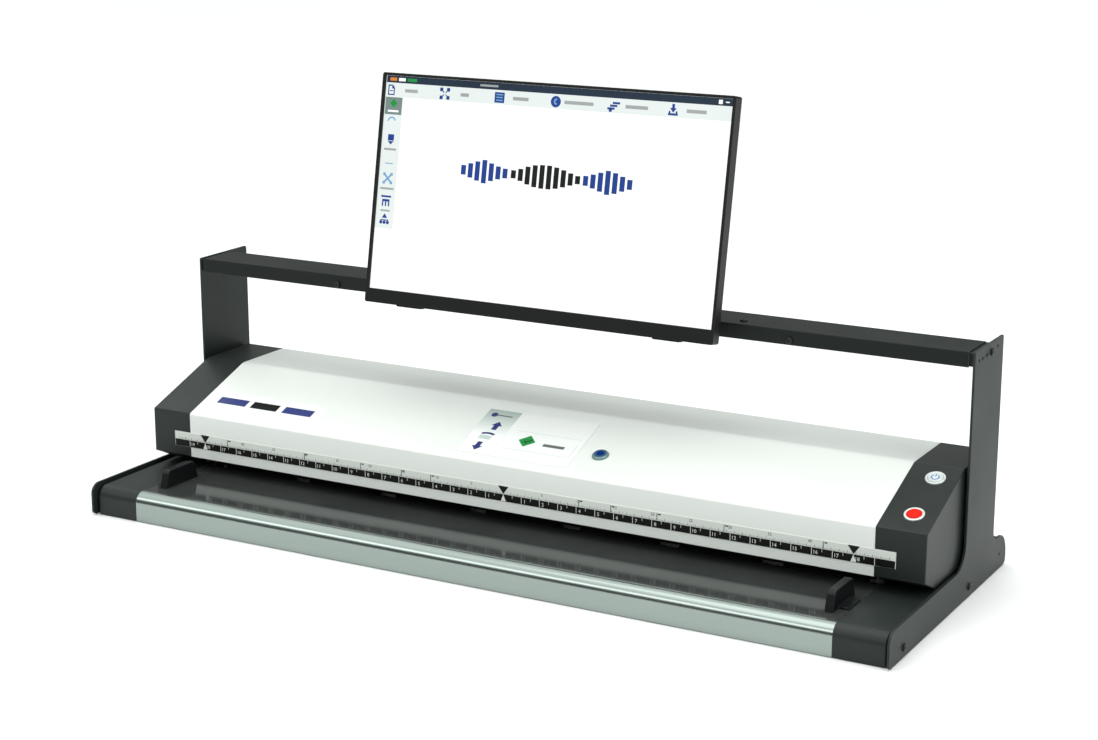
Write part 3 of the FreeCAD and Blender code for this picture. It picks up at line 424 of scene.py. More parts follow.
def faded(name, low_colour, high_colour, low, high, roughness=0.3):
    """A print that fades from one colour to another with height."""
    material, mixer, shader = start_finish(name, roughness)
    height = mixer.add("ShaderNodeSeparateXYZ", {0: mixer.place()}).outputs["Z"]
    mixer.feed(shader.inputs["Base Color"],
               mixer.blend(mixer.spread(height, low * MM, high * MM), low_colour, high_colour))
    return material


def glass_finish():
    """Clear float glass with a faint green tint and a few wipe marks."""
    material, mixer, shader = start_finish("scan_glass", 0.03, 0.0, Transmission_Weight=1.0, IOR=1.5)
    marks = mixer.spread(mixer.noise(18.0, 3.0), 0.35, 0.7)
    mixer.feed(shader.inputs["Base Color"], mixer.blend(marks, tone(226, 240, 234), tone(236, 246, 242)))
    mixer.feed(shader.inputs["Roughness"], mixer.spread(marks, 0.0, 1.0, 0.01, 0.06))
    return material


def lens_finish():
    """A blue middle that turns teal-grey towards its rim, under a glossy coat."""
    material, mixer, shader = start_finish("blue_dome", 0.04, 0.0, Coat_Weight=1.0, Coat_Roughness=0.02)
    middle = (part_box("status_dome")[0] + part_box("status_dome")[1]) / 2
    reach = mixer.add("ShaderNodeVectorMath", {0: mixer.place(), 1: tuple(middle)}, operation="DISTANCE")
    drift = mixer.math("MULTIPLY", mixer.noise(220.0, 2.0), 3 * MM)
    share = mixer.spread(mixer.math("ADD", reach.outputs["Value"], drift), 6 * MM, 11.5 * MM)
    mixer.feed(shader.inputs["Base Color"], mixer.blend(share, tone(8, 46, 118), tone(96, 128, 126)))
    return material


surface("galvanised_sheet", tone(150, 156, 158), 0.42, 0.85, grain=260, drift=45, vary=0.16, wear=0.3)
brushed("brushed_stainless", tone(148, 158, 154), 0.19, density=5200.0, vary=0.04)
surface("charcoal_shell", tone(28, 35, 33), 0.42, grain=1500, vary=0.05, wear=0.25, worn=tone(92, 98, 96),
        dust=0.03, Specular_IOR_Level=0.3)
surface("table_lacquer", tone(50, 53, 52), 0.1, grain=700, depth=0.006, vary=0.05, dust=0.03)
surface("white_platen", tone(236, 238, 236), 0.5, depth=0.01, vary=0.02)
surface("charcoal_powder", tone(29, 37, 34), 0.48, grain=1300, depth=0.05, vary=0.07, wear=0.35,
        worn=tone(104, 110, 108), dust=0.03, Specular_IOR_Level=0.3)
surface("black_screw", tone(34, 35, 36), 0.38, 0.5, grain=1500, depth=0.01, wear=0.5, worn=tone(96, 98, 98),
        wear_width=0.4)
surface("black_plastic", tone(36, 37, 38), 0.5, grain=1400, depth=0.03, wear=0.2)
surface("socket_metal", tone(176, 178, 180), 0.3, 1.0, grain=600, depth=0.01, vary=0.1)
surface("black_rubber", tone(30, 30, 30), 0.8, grain=700, depth=0.05, dust=0.1)
surface("motor_metal", tone(120, 124, 128), 0.38, 0.9, grain=500, vary=0.1)
surface("belt_rubber", tone(26, 26, 26), 0.7, depth=0.05)
surface("circuit_board", tone(28, 92, 54), 0.35, grain=160, depth=0.03, drift=120, vary=0.25)
surface("bearing_plastic", tone(226, 226, 216), 0.45, vary=0.04)
surface("pin_steel", tone(190, 192, 194), 0.2, 1.0, grain=1800, depth=0.005)
surface("roller_rubber", tone(38, 38, 40), 0.72, grain=1100, depth=0.06, vary=0.08, wear=0.2)
surface("pulley_metal", tone(184, 186, 188), 0.3, 1.0, grain=1500, depth=0.01, vary=0.08)
surface("white_shell", tone(230, 234, 230), 0.3, grain=1100, depth=0.01, drift=3.0, vary=0.008,
        Coat_Weight=0.25, Coat_Roughness=0.2)
surface("ruler_print", tone(216, 221, 216), 0.35, depth=0.01, vary=0.02)
surface("panel_glass", tone(240, 243, 241), 0.12, grain=300, depth=0.003, vary=0.01)
surface("satin_ring", tone(238, 242, 240), 0.3, 0.6, grain=1700, depth=0.01, vary=0.05, wear=0.2,
        wear_width=0.3)
surface("black_sheet", tone(32, 33, 33), 0.55, 0.3, grain=1200, depth=0.04, wear=0.3)
surface("sensor_housing", tone(46, 47, 48), 0.5, grain=1200, depth=0.03, wear=0.2)
surface("power_cap", tone(226, 232, 232), 0.32, depth=0.01, vary=0.03)
surface("stop_cap", tone(240, 28, 10), 0.34, depth=0.008, vary=0.05, Specular_IOR_Level=0.15)
surface("guide_plastic", tone(18, 21, 22), 0.34, grain=1300, vary=0.08, wear=0.5, worn=tone(84, 90, 88),
        wear_width=1.4, Specular_IOR_Level=0.2)
surface("monitor_plastic", tone(24, 26, 25), 0.4, grain=1500, depth=0.03, wear=0.3, worn=tone(70, 72, 71),
        Specular_IOR_Level=0.18)
lit("display_glass", tone(252, 254, 253))
glass_finish()
lens_finish()

INK = ink("dark_ink", tone(14, 17, 16), 0.4, 0.1, Specular_IOR_Level=0.15)
BAND = ink("dark_band", tone(8, 10, 9), 0.35, 0.1, 0.008, Specular_IOR_Level=0.15)
# The crossbar's own darker copy of charcoal_powder: painted shade for the dimmer light on its front, not a
# different paint.
CROSSBAR_SHADED_POWDER = surface("crossbar_powder_painted_shade", tone(18, 24, 22), 0.48, grain=1300, depth=0.05, vary=0.07, wear=0.5,
                       worn=tone(96, 102, 100), wear_width=1.2, dust=0.02, Specular_IOR_Level=0.2)
LABEL_WHITE = ink("label_white", tone(238, 241, 239), 0.22, 0.01, 0.004)
WHITE_INK = ink("white_ink", tone(224, 229, 225), 0.4, 0.03)
BLUE_INK = ink("blue_ink", tone(60, 132, 196), 0.35, 0.06)
DEEP_BLUE_INK = ink("deep_blue_ink", tone(24, 40, 112), 0.35, 0.08)
MIST_INK = ink("mist_ink", tone(190, 206, 200), 0.3, 0.04)
GREEN_INK = ink("green_ink", tone(16, 140, 62), 0.3, 0.1)
DEEP_GREEN_INK = ink("deep_green_ink", tone(8, 74, 34), 0.3, 0.1)
INK_GREY = ink("grey_label_ink", tone(96, 102, 100), 0.35, 0.08)
SIDE_FADE = faded("panel_side_fade", tone(243, 246, 244), tone(162, 180, 174), 134, 154)

NAVY = lit("screen_navy", tone(26, 44, 62), vary=0.08)
PALE = lit("screen_pale", tone(224, 232, 230))
SCREEN_BLUE = lit("screen_blue", tone(28, 62, 138), vary=0.1)
SKY = lit("screen_sky", tone(120, 166, 206), vary=0.1)
SCREEN_GREY = lit("screen_grey", tone(158, 164, 164), vary=0.08)
TILE = lit("screen_tile", tone(116, 134, 130), vary=0.04)
LEAF = lit("screen_green", tone(24, 140, 62), vary=0.15)
ORANGE = lit("screen_orange", tone(214, 128, 52), vary=0.08)
SCREEN_BLACK = lit("screen_black", tone(18, 20, 22), vary=0.1)
SCREEN_WHITE = lit("screen_white", tone(250, 252, 251))

for node in nodes.values():
    node.data.materials[0] = finishes[node.data.materials[0].name.split(".")[0]]


# ---------------------------- frame: plates, crossbar, base

def side_panel(side):
    """The laser-cut frame plate: a long foot with an upright rising from it."""
    node, low, high, outer, _ = side_box("side_plate_", side)
    inner = outer - side * PLATE_THICK
    left, right = sorted((inner, outer))
    upright_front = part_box("crossbar")[0].y
    upright_back = upright_front + UPRIGHT_DEPTH
    panel = block(node.replace("plate", "panel"), (left, low.y, low.z), (right, high.y, ARM_HEIGHT))
    for y in (upright_front, upright_back):
        slice_at(panel, (0, y, 0), (0, 1, 0))
    open_edit(panel)
    choose("FACE", lambda p: on(p, z=ARM_HEIGHT) and between(p, upright_front, upright_back))
    bpy.ops.mesh.extrude_region_move(TRANSFORM_OT_translate={"value": (0, 0, high.z - ARM_HEIGHT)})
    choose("FACE", lambda p: on(p, z=ARM_HEIGHT) and between(p, upright_back, high.y))
    bpy.ops.transform.translate(value=(0, 0, TAIL_HEIGHT - ARM_HEIGHT))
    close_edit()
    merge_flats(panel)
    for y, z, radius, segments in (
            (low.y, low.z, 6, 6), (low.y, ARM_HEIGHT, 14, 12), (upright_front, ARM_HEIGHT, 29, 16),
            (upright_front, high.z, 2, 4), (upright_back, high.z, 3, 4),
            (upright_back, TAIL_HEIGHT, 14, 12), (high.y, TAIL_HEIGHT, 28, 16), (high.y, low.z, 7, 6)):
        round_edges(panel, lambda p: on(p, y=y, z=z), radius * MM, segments=segments)
    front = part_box("front_bar")[0].y
    for distance, height in PLATE_HOLES:
        cutter = drum("hole_cutter", PLATE_HOLE_RADIUS, -2 * PLATE_THICK, 2 * PLATE_THICK, 16)
        spot = Matrix.Translation((outer, front + distance * MM, height * MM))
        carve(panel, turn_into_place(cutter, spot @ Matrix.Rotation(math.pi / 2, 4, "Y")))
    round_edges(panel, lambda p: on(p, x=outer) or on(p, x=inner), 0.5 * MM, segments=2)
    install(panel, "base", "charcoal_powder", (node,))


def crossbar_channel():
    """A folded channel, open below, with an end angle at each side plate."""
    low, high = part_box("crossbar")
    gap = 5.0 * MM              # channel end to side plate
    lap = 1.5 * MM              # angle inside the channel
    slack = 0.1 * MM
    bar = block("crossbar_channel", (low.x + gap, low.y, low.z), (high.x - gap, low.y + BAR_DEPTH, high.z))
    for y in (low.y, low.y + BAR_DEPTH):
        round_edges(bar, lambda p: on(p, y=y, z=high.z), 2.2 * MM, segments=5)
    ends = (low.x + gap, high.x - gap)
    drop_faces(bar, lambda p: on(p, z=low.z) or any(on(p, x=x) for x in ends))
    give_wall(bar, SHEET)
    angles = []
    for x0, x1 in ((low.x, low.x + gap + lap), (high.x - gap - lap, high.x)):
        angle = block("end_angle", (x0, low.y + SHEET + slack, low.z + 0.7 * MM),
                      (x1, high.y, high.z - SHEET - slack))
        round_edges(angle, lambda p: True, 0.6 * MM, segments=2)
        angles.append(angle)
    # The channel takes the darker copy of the frame's powder coat, which is painted shade.
    install(add_on(bar, *angles), "base", "charcoal_powder", ("crossbar",), CROSSBAR_SHADED_POWDER)


def front_bar_skin():
    """The rounded stainless nose of the feed table."""
    low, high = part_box("front_bar")
    bar = block("front_bar_skin", low, high)
    round_edges(bar, lambda p: on(p, y=low.y, z=high.z), NOSE_RADIUS, segments=28)
    drop_faces(bar, lambda p: on(p, y=high.y) or on(p, z=low.z) or on(p, x=low.x) or on(p, x=high.x))
    give_wall(bar, STAINLESS_SKIN)
    install(bar, "base", "brushed_stainless", ("front_bar",))


def base_end_cap(side):
    """The moulded end of the base, with the same nose as the front bar."""
    node, low, high, outer, inner = side_box("base_cap_", side)
    cap = block(node.replace("cap", "end_cap"), low, high)
    round_edges(cap, lambda p: on(p, y=low.y, z=high.z), NOSE_RADIUS, segments=24)
    round_edges(cap, lambda p: on(p, y=high.y, z=high.z), 8 * MM, segments=12)
    round_edges(cap, lambda p: on(p, x=outer) and not on(p, z=low.z), 2.2 * MM, segments=5)
    drop_faces(cap, lambda p: on(p, z=low.z) or on(p, x=inner))
    give_wall(cap, CAP_WALL)
    install(cap, "base", "charcoal_shell", (node,))


# ---------------------------- scan head

HEAD_LOW, HEAD_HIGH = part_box("head_cover")
CROWN_Y = HEAD_LOW.y + FACE_RUN
FACE_EDGE = Vector((0, HEAD_LOW.y, HEAD_HIGH.z - FACE_RISE))
OFF_FACE = (0, -math.sin(SLOPE), math.cos(SLOPE))
ON_FACE = Matrix.Translation(FACE_EDGE) @ Matrix.Rotation(SLOPE, 4, "X")

# Places on the control face: across from the middle, along from its front edge.
PANEL_LEFT, PANEL_RIGHT = -77 * MM, 80 * MM
PANEL_LOW, PANEL_HIGH = 13.5 * MM, 108 * MM
LENS_ACROSS, LENS_ALONG = 110.3 * MM, 47.8 * MM
BUTTON_ACROSS = 516.3 * MM
POWER_ALONG = 102 * MM
STOP_ALONG = 31 * MM
BUTTON_HOLE = 10.6 * MM         # radius

LIP_HEIGHT = 57.8 * MM          # underside of the end caps, front and rear
THROAT_FRONT = 33 * MM          # the raised part starts this far behind the head's front face
THROAT_REAR = 33.5 * MM         # and ends this far before its rear face
BROW_RADIUS, CROWN_RADIUS = 4 * MM, 30 * MM             # cover, low and high end of the face
CAP_BROW_RADIUS, CAP_CROWN_RADIUS = 3 * MM, 8 * MM      # and of the end caps
REAR_RADIUS = 5 * MM


def face_block(name, low, high):
    """A block in the control face's own axes: across, up the face, off the face."""
    return turn_into_place(block(name, low, high), ON_FACE)


def on_face_at(across, along):
    return ON_FACE @ Matrix.Translation((across, along, 0))


def head_shell():
    """The white cover, with a window for the touch panel."""
    shell = block("head_shell", HEAD_LOW, HEAD_HIGH)
    slice_at(shell, (0, CROWN_Y, HEAD_HIGH.z), OFF_FACE, keep_below=True)
    round_edges(shell, lambda p: on(p, y=HEAD_LOW.y, z=FACE_EDGE.z), BROW_RADIUS, 90 - SLOPE_TURN, 8)
    round_edges(shell, lambda p: on(p, y=CROWN_Y, z=HEAD_HIGH.z), CROWN_RADIUS, SLOPE_TURN, 8)
    round_edges(shell, lambda p: on(p, y=HEAD_HIGH.y, z=HEAD_HIGH.z), REAR_RADIUS, segments=10)
    drop_faces(shell, lambda p: on(p, z=HEAD_LOW.z) or on(p, x=HEAD_LOW.x) or on(p, x=HEAD_HIGH.x))
    give_wall(shell, COVER_WALL)
    window = face_block("window_cutter", (PANEL_LEFT, PANEL_LOW, -8 * MM), (PANEL_RIGHT, PANEL_HIGH, 8 * MM))
    carve(shell, window)
    install(shell, "scan_head", "white_shell", ("head_cover",))


def head_end_cap(side):
    """An end moulding: the head's outline, with the underside stepping down behind the entry."""
    node, low, high, outer, inner = side_box("head_cap_", side)
    cap = block(node.replace("cap", "end_cap"), (low.x, low.y, LIP_HEIGHT), high)
    front, rear = low.y + THROAT_FRONT, high.y - THROAT_REAR
    for y in (front, rear):
        slice_at(cap, (0, y, 0), (0, 1, 0))
    open_edit(cap)
    choose("FACE", lambda p: on(p, z=LIP_HEIGHT) and between(p, front, rear))
    bpy.ops.transform.translate(value=(0, 0, low.z - LIP_HEIGHT))
    close_edit()
    slice_at(cap, (0, CROWN_Y, high.z), OFF_FACE, keep_below=True)
    merge_flats(cap)
    round_edges(cap, lambda p: on(p, y=low.y, z=high.z - FACE_RISE), CAP_BROW_RADIUS, 90 - SLOPE_TURN, 8)
    round_edges(cap, lambda p: on(p, y=CROWN_Y, z=high.z), CAP_CROWN_RADIUS, SLOPE_TURN, 8)
    round_edges(cap, lambda p: on(p, y=high.y, z=high.z), REAR_RADIUS, segments=10)
    round_edges(cap, lambda p: on(p, x=outer), 1.6 * MM, segments=4)
    drop_faces(cap, lambda p: on(p, x=inner))
    give_wall(cap, CAP_WALL)
    if side > 0:
        for along in (POWER_ALONG, STOP_ALONG):
            hole = drum("hole_cutter", BUTTON_HOLE, -9 * MM, 9 * MM, centre=(BUTTON_ACROSS, along))
            carve(cap, turn_into_place(hole, ON_FACE))
    install(cap, "scan_head", "charcoal_shell", (node,))


# ---------------------------- thin printed marks

# Marks are laid out in plain millimetres, on the axes of the surface that carries them.
INCH = 25.4
INK_THICK = 0.05 * MM
OVER = 0.06                     # lift of one printed mark over another
TRIANGLE_WIDE, TRIANGLE_TALL = 0.866, 0.75      # of the width of the circle round it


def start_marks(name):
    """An empty mesh, left open for adding flat shapes."""
    marks = block(name, (0, 0, 0), (MM, MM, MM))
    open_edit(marks, everything=True)
    bpy.ops.mesh.delete(type="VERT")
    return marks


def add_bar(x, y, wide, tall, level=0.0, turn=0.0, thick=INK_THICK):
    """A flat bar in millimetres; turn is in degrees."""
    bpy.ops.mesh.primitive_cube_add(size=1, location=(x * MM, y * MM, level * MM + thick / 2),
                                    rotation=(0, 0, math.radians(turn)),
                                    scale=(wide * MM, tall * MM, thick))


def add_disc(sides, x, y, wide, tall, level=0.0, turn=0.0, thick=INK_THICK):
    """A flat disc, diamond or triangle in millimetres, filling wide by tall before it is turned."""
    middle = (x * MM, y * MM, level * MM + thick / 2)
    bpy.ops.mesh.primitive_cylinder_add(vertices=sides, radius=0.5 * MM, depth=thick, location=middle,
                                        rotation=(0, 0, math.radians(turn)))
    if sides == 3:
        wide, tall = wide / TRIANGLE_WIDE, tall / TRIANGLE_TALL
    bpy.ops.transform.resize(value=(wide, tall, 1), center_override=middle)


def add_arc(x, y, radius, width, start, end, steps, level=0.0):
    """An arc made of short overlapping bars; angles in degrees."""
    step = (end - start) / steps
    length = 2 * radius * math.tan(math.radians(abs(step)) / 2) + width * 0.3
    for count in range(steps):
        angle = start + step * (count + 0.5)
        add_bar(x + radius * math.cos(math.radians(angle)), y + radius * math.sin(math.radians(angle)),
                length, width, level, angle + 90)


def hang_marks(marks, base, body, slot, finish):
    """Close a set of marks and lay it on its surface."""
    close_edit()
    turn_into_place(marks, base)
    return install(marks, body, slot, (), finish)


def marks_of_bars(name, bars, level, base, body, slot, finish):
    """One colour of plain bars, each given as x, y, width, height."""
    marks = start_marks(name)
    for bar in bars:
        add_bar(*bar[:4], level, *bar[4:])
    return hang_marks(marks, base, body, slot, finish)


def number_marks(name, labels, size, level, base, body, slot, finish):
    """Numbers in outline type, each given as text, x and y of its middle."""
    made = []
    for words, x, y in labels:
        bpy.ops.object.text_add(location=(0, 0, 0))
        label = bpy.context.active_object
        label.data.body = words
        label.data.size = size * MM
        label.data.align_x = "CENTER"
        label.data.align_y = "CENTER"
        label.data.extrude = INK_THICK / 2
        label.data.resolution_u = 2
        bpy.ops.object.convert(target="MESH")
        label = bpy.context.active_object
        open_edit(label, everything=True)
        bpy.ops.mesh.remove_doubles(threshold=0.001 * MM)
        bpy.ops.mesh.normals_make_consistent(inside=False)
        close_edit()
        made.append(turn_into_place(label, Matrix.Translation((x * MM, y * MM, level * MM + INK_THICK / 2))))
    marks = add_on(made[0], *made[1:])
    marks.name = name
    turn_into_place(marks, base)
    return install(marks, body, slot, (), finish)


# ---------------------------- ruler on the head's front

ON_FRONT = Matrix.Translation((0, HEAD_LOW.y, 0)) @ Matrix.Rotation(math.pi / 2, 4, "X")
RULER_HALF, RULER_LOW, RULER_SPLIT, RULER_HIGH = 507.5, 70.0, 79.6, 89.8
RULER_TOP = 0.8                 # thickness of its backing
BAND_MIDDLE = (RULER_SPLIT + RULER_LOW) / 2
METRIC_HALF = 500
PAPER_HALVES = (105.0, 148.5, 210.0, 297.0, 420.5)
SHEET_HALF = 18 * INCH          # widest sheet


def repeat_bar(name, x, y, wide, tall, step, count, level):
    """A bar copied along X at an even step, as one piece."""
    marks = start_marks(name)
    add_bar(x, y, wide, tall, level)
    close_edit()
    apply_modifier(marks, "ARRAY", count=count, use_relative_offset=False, use_constant_offset=True,
                   constant_offset_displace=(step * MM, 0, 0))
    return marks


def ruler():
    """A white metric scale over a dark inch scale, both counted from the middle."""
    home = (ON_FRONT, "scan_head", "ruler_print")
    strip = block("ruler_backing", (-RULER_HALF * MM, RULER_LOW * MM, 0),
                  (RULER_HALF * MM, RULER_HIGH * MM, RULER_TOP * MM))
    round_edges(strip, lambda p: on(p, z=RULER_TOP * MM), 0.3 * MM, segments=3)
    turn_into_place(strip, ON_FRONT)
    install(strip, "scan_head", "ruler_print", ("ruler_strip",))
    marks_of_bars("ruler_dark_band", [(0, BAND_MIDDLE, 2 * RULER_HALF - 1.2, RULER_SPLIT - RULER_LOW - 0.6)],
                  RULER_TOP, *home, BAND)
    metric_scale(home)
    inch_scale(home)


def metric_scale(home):
    """Ticks at 1, 5 and 10 mm, sheet widths as small flags, and three arrows."""
    def ticks(name, up, wide, tall, step):
        count = 2 * METRIC_HALF // step + 1
        return repeat_bar(name, -METRIC_HALF, RULER_SPLIT + up, wide, tall, step, count, RULER_TOP)

    fine = ticks("metric_ticks", 0.8, 0.18, 1.4, 1)
    open_edit(add_on(fine, ticks("five_ticks", 1.2, 0.25, 2.2, 5), ticks("ten_ticks", 1.7, 0.4, 3.2, 10)))
    for half in PAPER_HALVES:
        for x in (-half, half):
            add_bar(x, RULER_SPLIT + 4.6, 0.9, 8.6, RULER_TOP)
            add_bar(x + 3.2, RULER_SPLIT + 7.6, 3.6, 1.6, RULER_TOP)
    for x in (-SHEET_HALF, 0, SHEET_HALF):
        add_disc(3, x, RULER_SPLIT + 6.8, 15, 10, RULER_TOP + 0.04, 180)
    hang_marks(fine, *home, INK)
    numbers = [(str(abs(count) * 5), count * 50.0 + 4.4, RULER_SPLIT + 6.6)
               for count in range(-9, 10) if abs(count) not in (0, 9)]
    number_marks("metric_numbers", numbers, 5.2, RULER_TOP, *home, INK)


def inch_scale(home):
    """Long ticks at inches, short ones at halves, three arrows and the numbers."""
    level = RULER_TOP + OVER
    reach = int(RULER_HALF / INCH)
    inches = repeat_bar("inch_ticks", -reach * INCH, BAND_MIDDLE, 0.7, 8.4, INCH, 2 * reach + 1, level)
    halves = repeat_bar("half_ticks", (0.5 - reach) * INCH, RULER_SPLIT - 2.4, 0.5, 3.4, INCH, 2 * reach,
                        level)
    open_edit(add_on(inches, halves))
    for x in (-SHEET_HALF, 0, SHEET_HALF):
        add_disc(3, x, RULER_SPLIT - 6.2, 7, 8.5, RULER_TOP + 0.08)
    hang_marks(inches, *home, WHITE_INK)
    numbers = [(str(abs(count)), count * INCH + 4.6, BAND_MIDDLE - 0.6)
               for count in range(-reach, reach) if count]
    number_marks("inch_numbers", numbers, 6.4, level, *home, WHITE_INK)


# ---------------------------- control face

PANEL_TOP = 0.3                 # panel glass above the face
PANEL_RIM = 0.3 * MM            # gap round it
ARROW_WIDE, ARROW_TALL = 15, 9
STEM_WIDE, STEM_TALL = 7, 10


def touch_panel_marks():
    """A side bar with arrows, a framed white area and a diamond mark."""
    home = (ON_FACE, "scan_head", "panel_glass")
    glass = face_block("touch_glass", (PANEL_LEFT + PANEL_RIM, PANEL_LOW + PANEL_RIM, -1.7 * MM),
                       (PANEL_RIGHT - PANEL_RIM, PANEL_HIGH - PANEL_RIM, PANEL_TOP * MM))
    round_edges(glass, lambda p: True, 0.25 * MM, segments=2)
    install(glass, "scan_head", "panel_glass", ("touch_panel",))
    level = PANEL_TOP + OVER
    marks_of_bars("panel_side_bar", [(-53.5, 60.7, 46, 93)], PANEL_TOP, *home, SIDE_FADE)
    marks_of_bars("panel_grey", [(-50, 96, 22, 2.2), (44, 50, 30, 5.4)], level, *home, INK_GREY)
    marks_of_bars("panel_outline", [(26, 33, 92, 0.7), (72.5, 47, 0.7, 26), (26, 71, 92, 0.5)], level,
                  *home, MIST_INK)
    marks_of_bars("panel_tray", [(-53, 48, 17, 8)], level, *home, MIST_INK)
    arrows = start_marks("panel_arrows")
    for x, head, stem, turn in ((-50.5, 77, 70, 0), (-53.5, 26, 33, 180)):
        add_disc(3, x, head, ARROW_WIDE, ARROW_TALL, level, turn)
        add_bar(x, stem, STEM_WIDE, STEM_TALL, level)
    add_arc(-52.5, 38, 19, 3.6, 64, 116, 8, PANEL_TOP + 0.1)
    add_disc(24, -65, 96, 9, 9, level)
    hang_marks(arrows, *home, DEEP_BLUE_INK)
    leaf = start_marks("panel_diamond")
    add_disc(4, 4.8, 53, 24, 24, level)
    hang_marks(leaf, *home, GREEN_INK)
    tick = start_marks("panel_diamond_tick")
    add_bar(3.2, 51.2, 6, 2.2, level + OVER, -45)
    add_bar(7, 53.4, 11, 2.2, level + OVER, 45)
    hang_marks(tick, *home, DEEP_GREEN_INK)


def face_label():
    """A pale label with three plain bars at the left end of the face."""
    home = (ON_FACE, "scan_head", "white_shell")
    marks_of_bars("label_sheet", [(-384, 39, 172, 36)], 0.02, *home, LABEL_WHITE)
    marks_of_bars("label_blue_bars", [(-437, 39, 46, 14), (-332, 39, 46, 14)], 0.09, *home, DEEP_BLUE_INK)
    marks_of_bars("label_dark_bar", [(-385, 39, 42, 14)], 0.09, *home, INK)


LENS_RADIUS, LENS_TOP = 10.7 * MM, 3.3 * MM
RIM_RADIUS, RIM_TOP = 11.6 * MM, 0.6 * MM
KEY_RADIUS, KEY_TOP = 8.6 * MM, 2.7 * MM
RING_RADIUS, RING_TOP = 12 * MM, 1.9 * MM


def status_lens():
    """A low blue lens on a thin flange."""
    lens = drum("status_lens", LENS_RADIUS, 0.0, LENS_TOP)
    round_edges(lens, lambda p: on(p, z=LENS_TOP), 3.1 * MM, segments=10)
    turn_into_place(lens, on_face_at(LENS_ACROSS, LENS_ALONG))
    install(lens, "scan_head", "blue_dome", ("status_dome",), sharp=60)
    rim = drum("lens_rim", RIM_RADIUS, CLOSE, RIM_TOP)
    carve(rim, drum("hole_cutter", LENS_RADIUS + 0.1 * MM, -1 * MM, 2 * MM))
    round_edges(rim, lambda p: on(p, z=RIM_TOP), 0.2 * MM, segments=2)
    turn_into_place(rim, on_face_at(LENS_ACROSS, LENS_ALONG))
    install(rim, "scan_head", "satin_ring")


def button(name, along, slot):
    """A dished round cap standing in its ring."""
    cap = drum(name + "_cap", KEY_RADIUS, -9.5 * MM, KEY_TOP, 56)
    open_edit(cap)
    choose("FACE", lambda p: on(p, z=KEY_TOP))
    bpy.ops.mesh.inset(thickness=1.4 * MM)
    bpy.ops.mesh.inset(thickness=1.6 * MM)
    bpy.ops.transform.translate(value=(0, 0, -0.45 * MM))
    close_edit()
    rim = KEY_RADIUS - 0.1 * MM
    round_edges(cap, lambda p: on(p, z=KEY_TOP) and max(v.xy.length for v in p) > rim, 0.7 * MM, segments=4)
    turn_into_place(cap, on_face_at(BUTTON_ACROSS, along))
    install(cap, name + "_key", slot, (name + "_button",), sharp=50)


def button_rings():
    """The two rings that the caps stand in, as one piece."""
    rings = []
    for along in (POWER_ALONG, STOP_ALONG):
        ring = drum("button_ring", RING_RADIUS, 0.0, RING_TOP, 64)
        carve(ring, drum("hole_cutter", KEY_RADIUS + 0.4 * MM, -1 * MM, 3 * MM, 64))
        round_edges(ring, lambda p: on(p, z=RING_TOP), 0.7 * MM, segments=4)
        rings.append(turn_into_place(ring, on_face_at(BUTTON_ACROSS, along)))
    install(add_on(*rings), "scan_head", "satin_ring", ("button_rings",))


def power_mark():
    """A ring open at the top with a bar in the gap."""
    mark = start_marks("power_mark")
    add_arc(0, 0, 4.3, 1.5, 125, 415, 22, 2.3)
    add_bar(0, 3.4, 1.5, 5.2, 2.3)
    hang_marks(mark, on_face_at(BUTTON_ACROSS, POWER_ALONG), "power_key", "power_cap", BLUE_INK)


# ---------------------------- paper guides

FENCE_THICK = 10.5 * MM
FENCE_LEAD = 7 * MM             # how far its ends lean in, and their rounding
FOOT_FRONT, FOOT_REAR, FOOT_THICK = 17 * MM, 53 * MM, 2.6 * MM


def paper_guide(side):
    """A low fence with leaning ends on a thin foot that slides on the table."""
    node, low, high, foot_end, face = side_box("paper_guide_", side)
    outer = face + side * FENCE_THICK
    left, right = sorted((face, outer))
    fence = block(node.replace("guide", "fence"), (left, low.y, low.z), (right, high.y, high.z))
    tall = high.z - low.z
    slice_at(fence, (0, low.y, low.z), (0, -tall, FENCE_LEAD), keep_below=True)
    slice_at(fence, (0, high.y, low.z), (0, tall, FENCE_LEAD), keep_below=True)
    turn = 90 - math.degrees(math.atan2(FENCE_LEAD, tall))
    for y in (low.y + FENCE_LEAD, high.y - FENCE_LEAD):
        round_edges(fence, lambda p: on(p, y=y, z=high.z), FENCE_LEAD, turn, 8)
    round_edges(fence, lambda p: (on(p, x=outer) or on(p, x=face)) and not on(p, z=low.z), 1.5 * MM,
                segments=4)
    foot_low, foot_high = sorted((outer - side * MM, foot_end))
    foot = block("guide_foot", (foot_low, low.y + FOOT_FRONT, low.z),
                 (foot_high, low.y + FOOT_REAR, low.z + FOOT_THICK))
    round_edges(foot, lambda p: not on(p, z=low.z), 0.8 * MM, segments=3)
    body = node.replace("paper_guide_", "") + "_guide"
    install(add_on(fence, foot), body, "guide_plastic", (node,))


# ---------------------------- monitor

FRAME_DEEP = 3 * MM             # front frame
BEZEL_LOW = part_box("monitor_bezel")[0]
ON_SCREEN = (Matrix.Translation((0, BEZEL_LOW.y, BEZEL_LOW.z + FRAME_DEEP * math.sin(LEAN)))
             @ Matrix.Rotation(math.pi / 2 - LEAN, 4, "X"))
MONITOR_HALF, MONITOR_TALL = 245.8 * MM, 292.6 * MM
MONITOR_CORNERS = [(x, y) for x in (-MONITOR_HALF, MONITOR_HALF) for y in (0, MONITOR_TALL)]
CORNER_RADIUS = 3 * MM
SCREEN_HALF, SCREEN_BOTTOM, SCREEN_TOP = 241.5 * MM, 17.9 * MM, 289.1 * MM
MONITOR_EDGE = 17.7 * MM        # depth at its edge
BULGE_DEEP = 42 * MM            # and at its middle
BULGE_HALF, BULGE_BOTTOM, BULGE_TOP = 170 * MM, 40 * MM, 250 * MM
BULGE_ROOT = 0.4 * MM - MONITOR_EDGE
TAB_PLACES = (-182, 182)


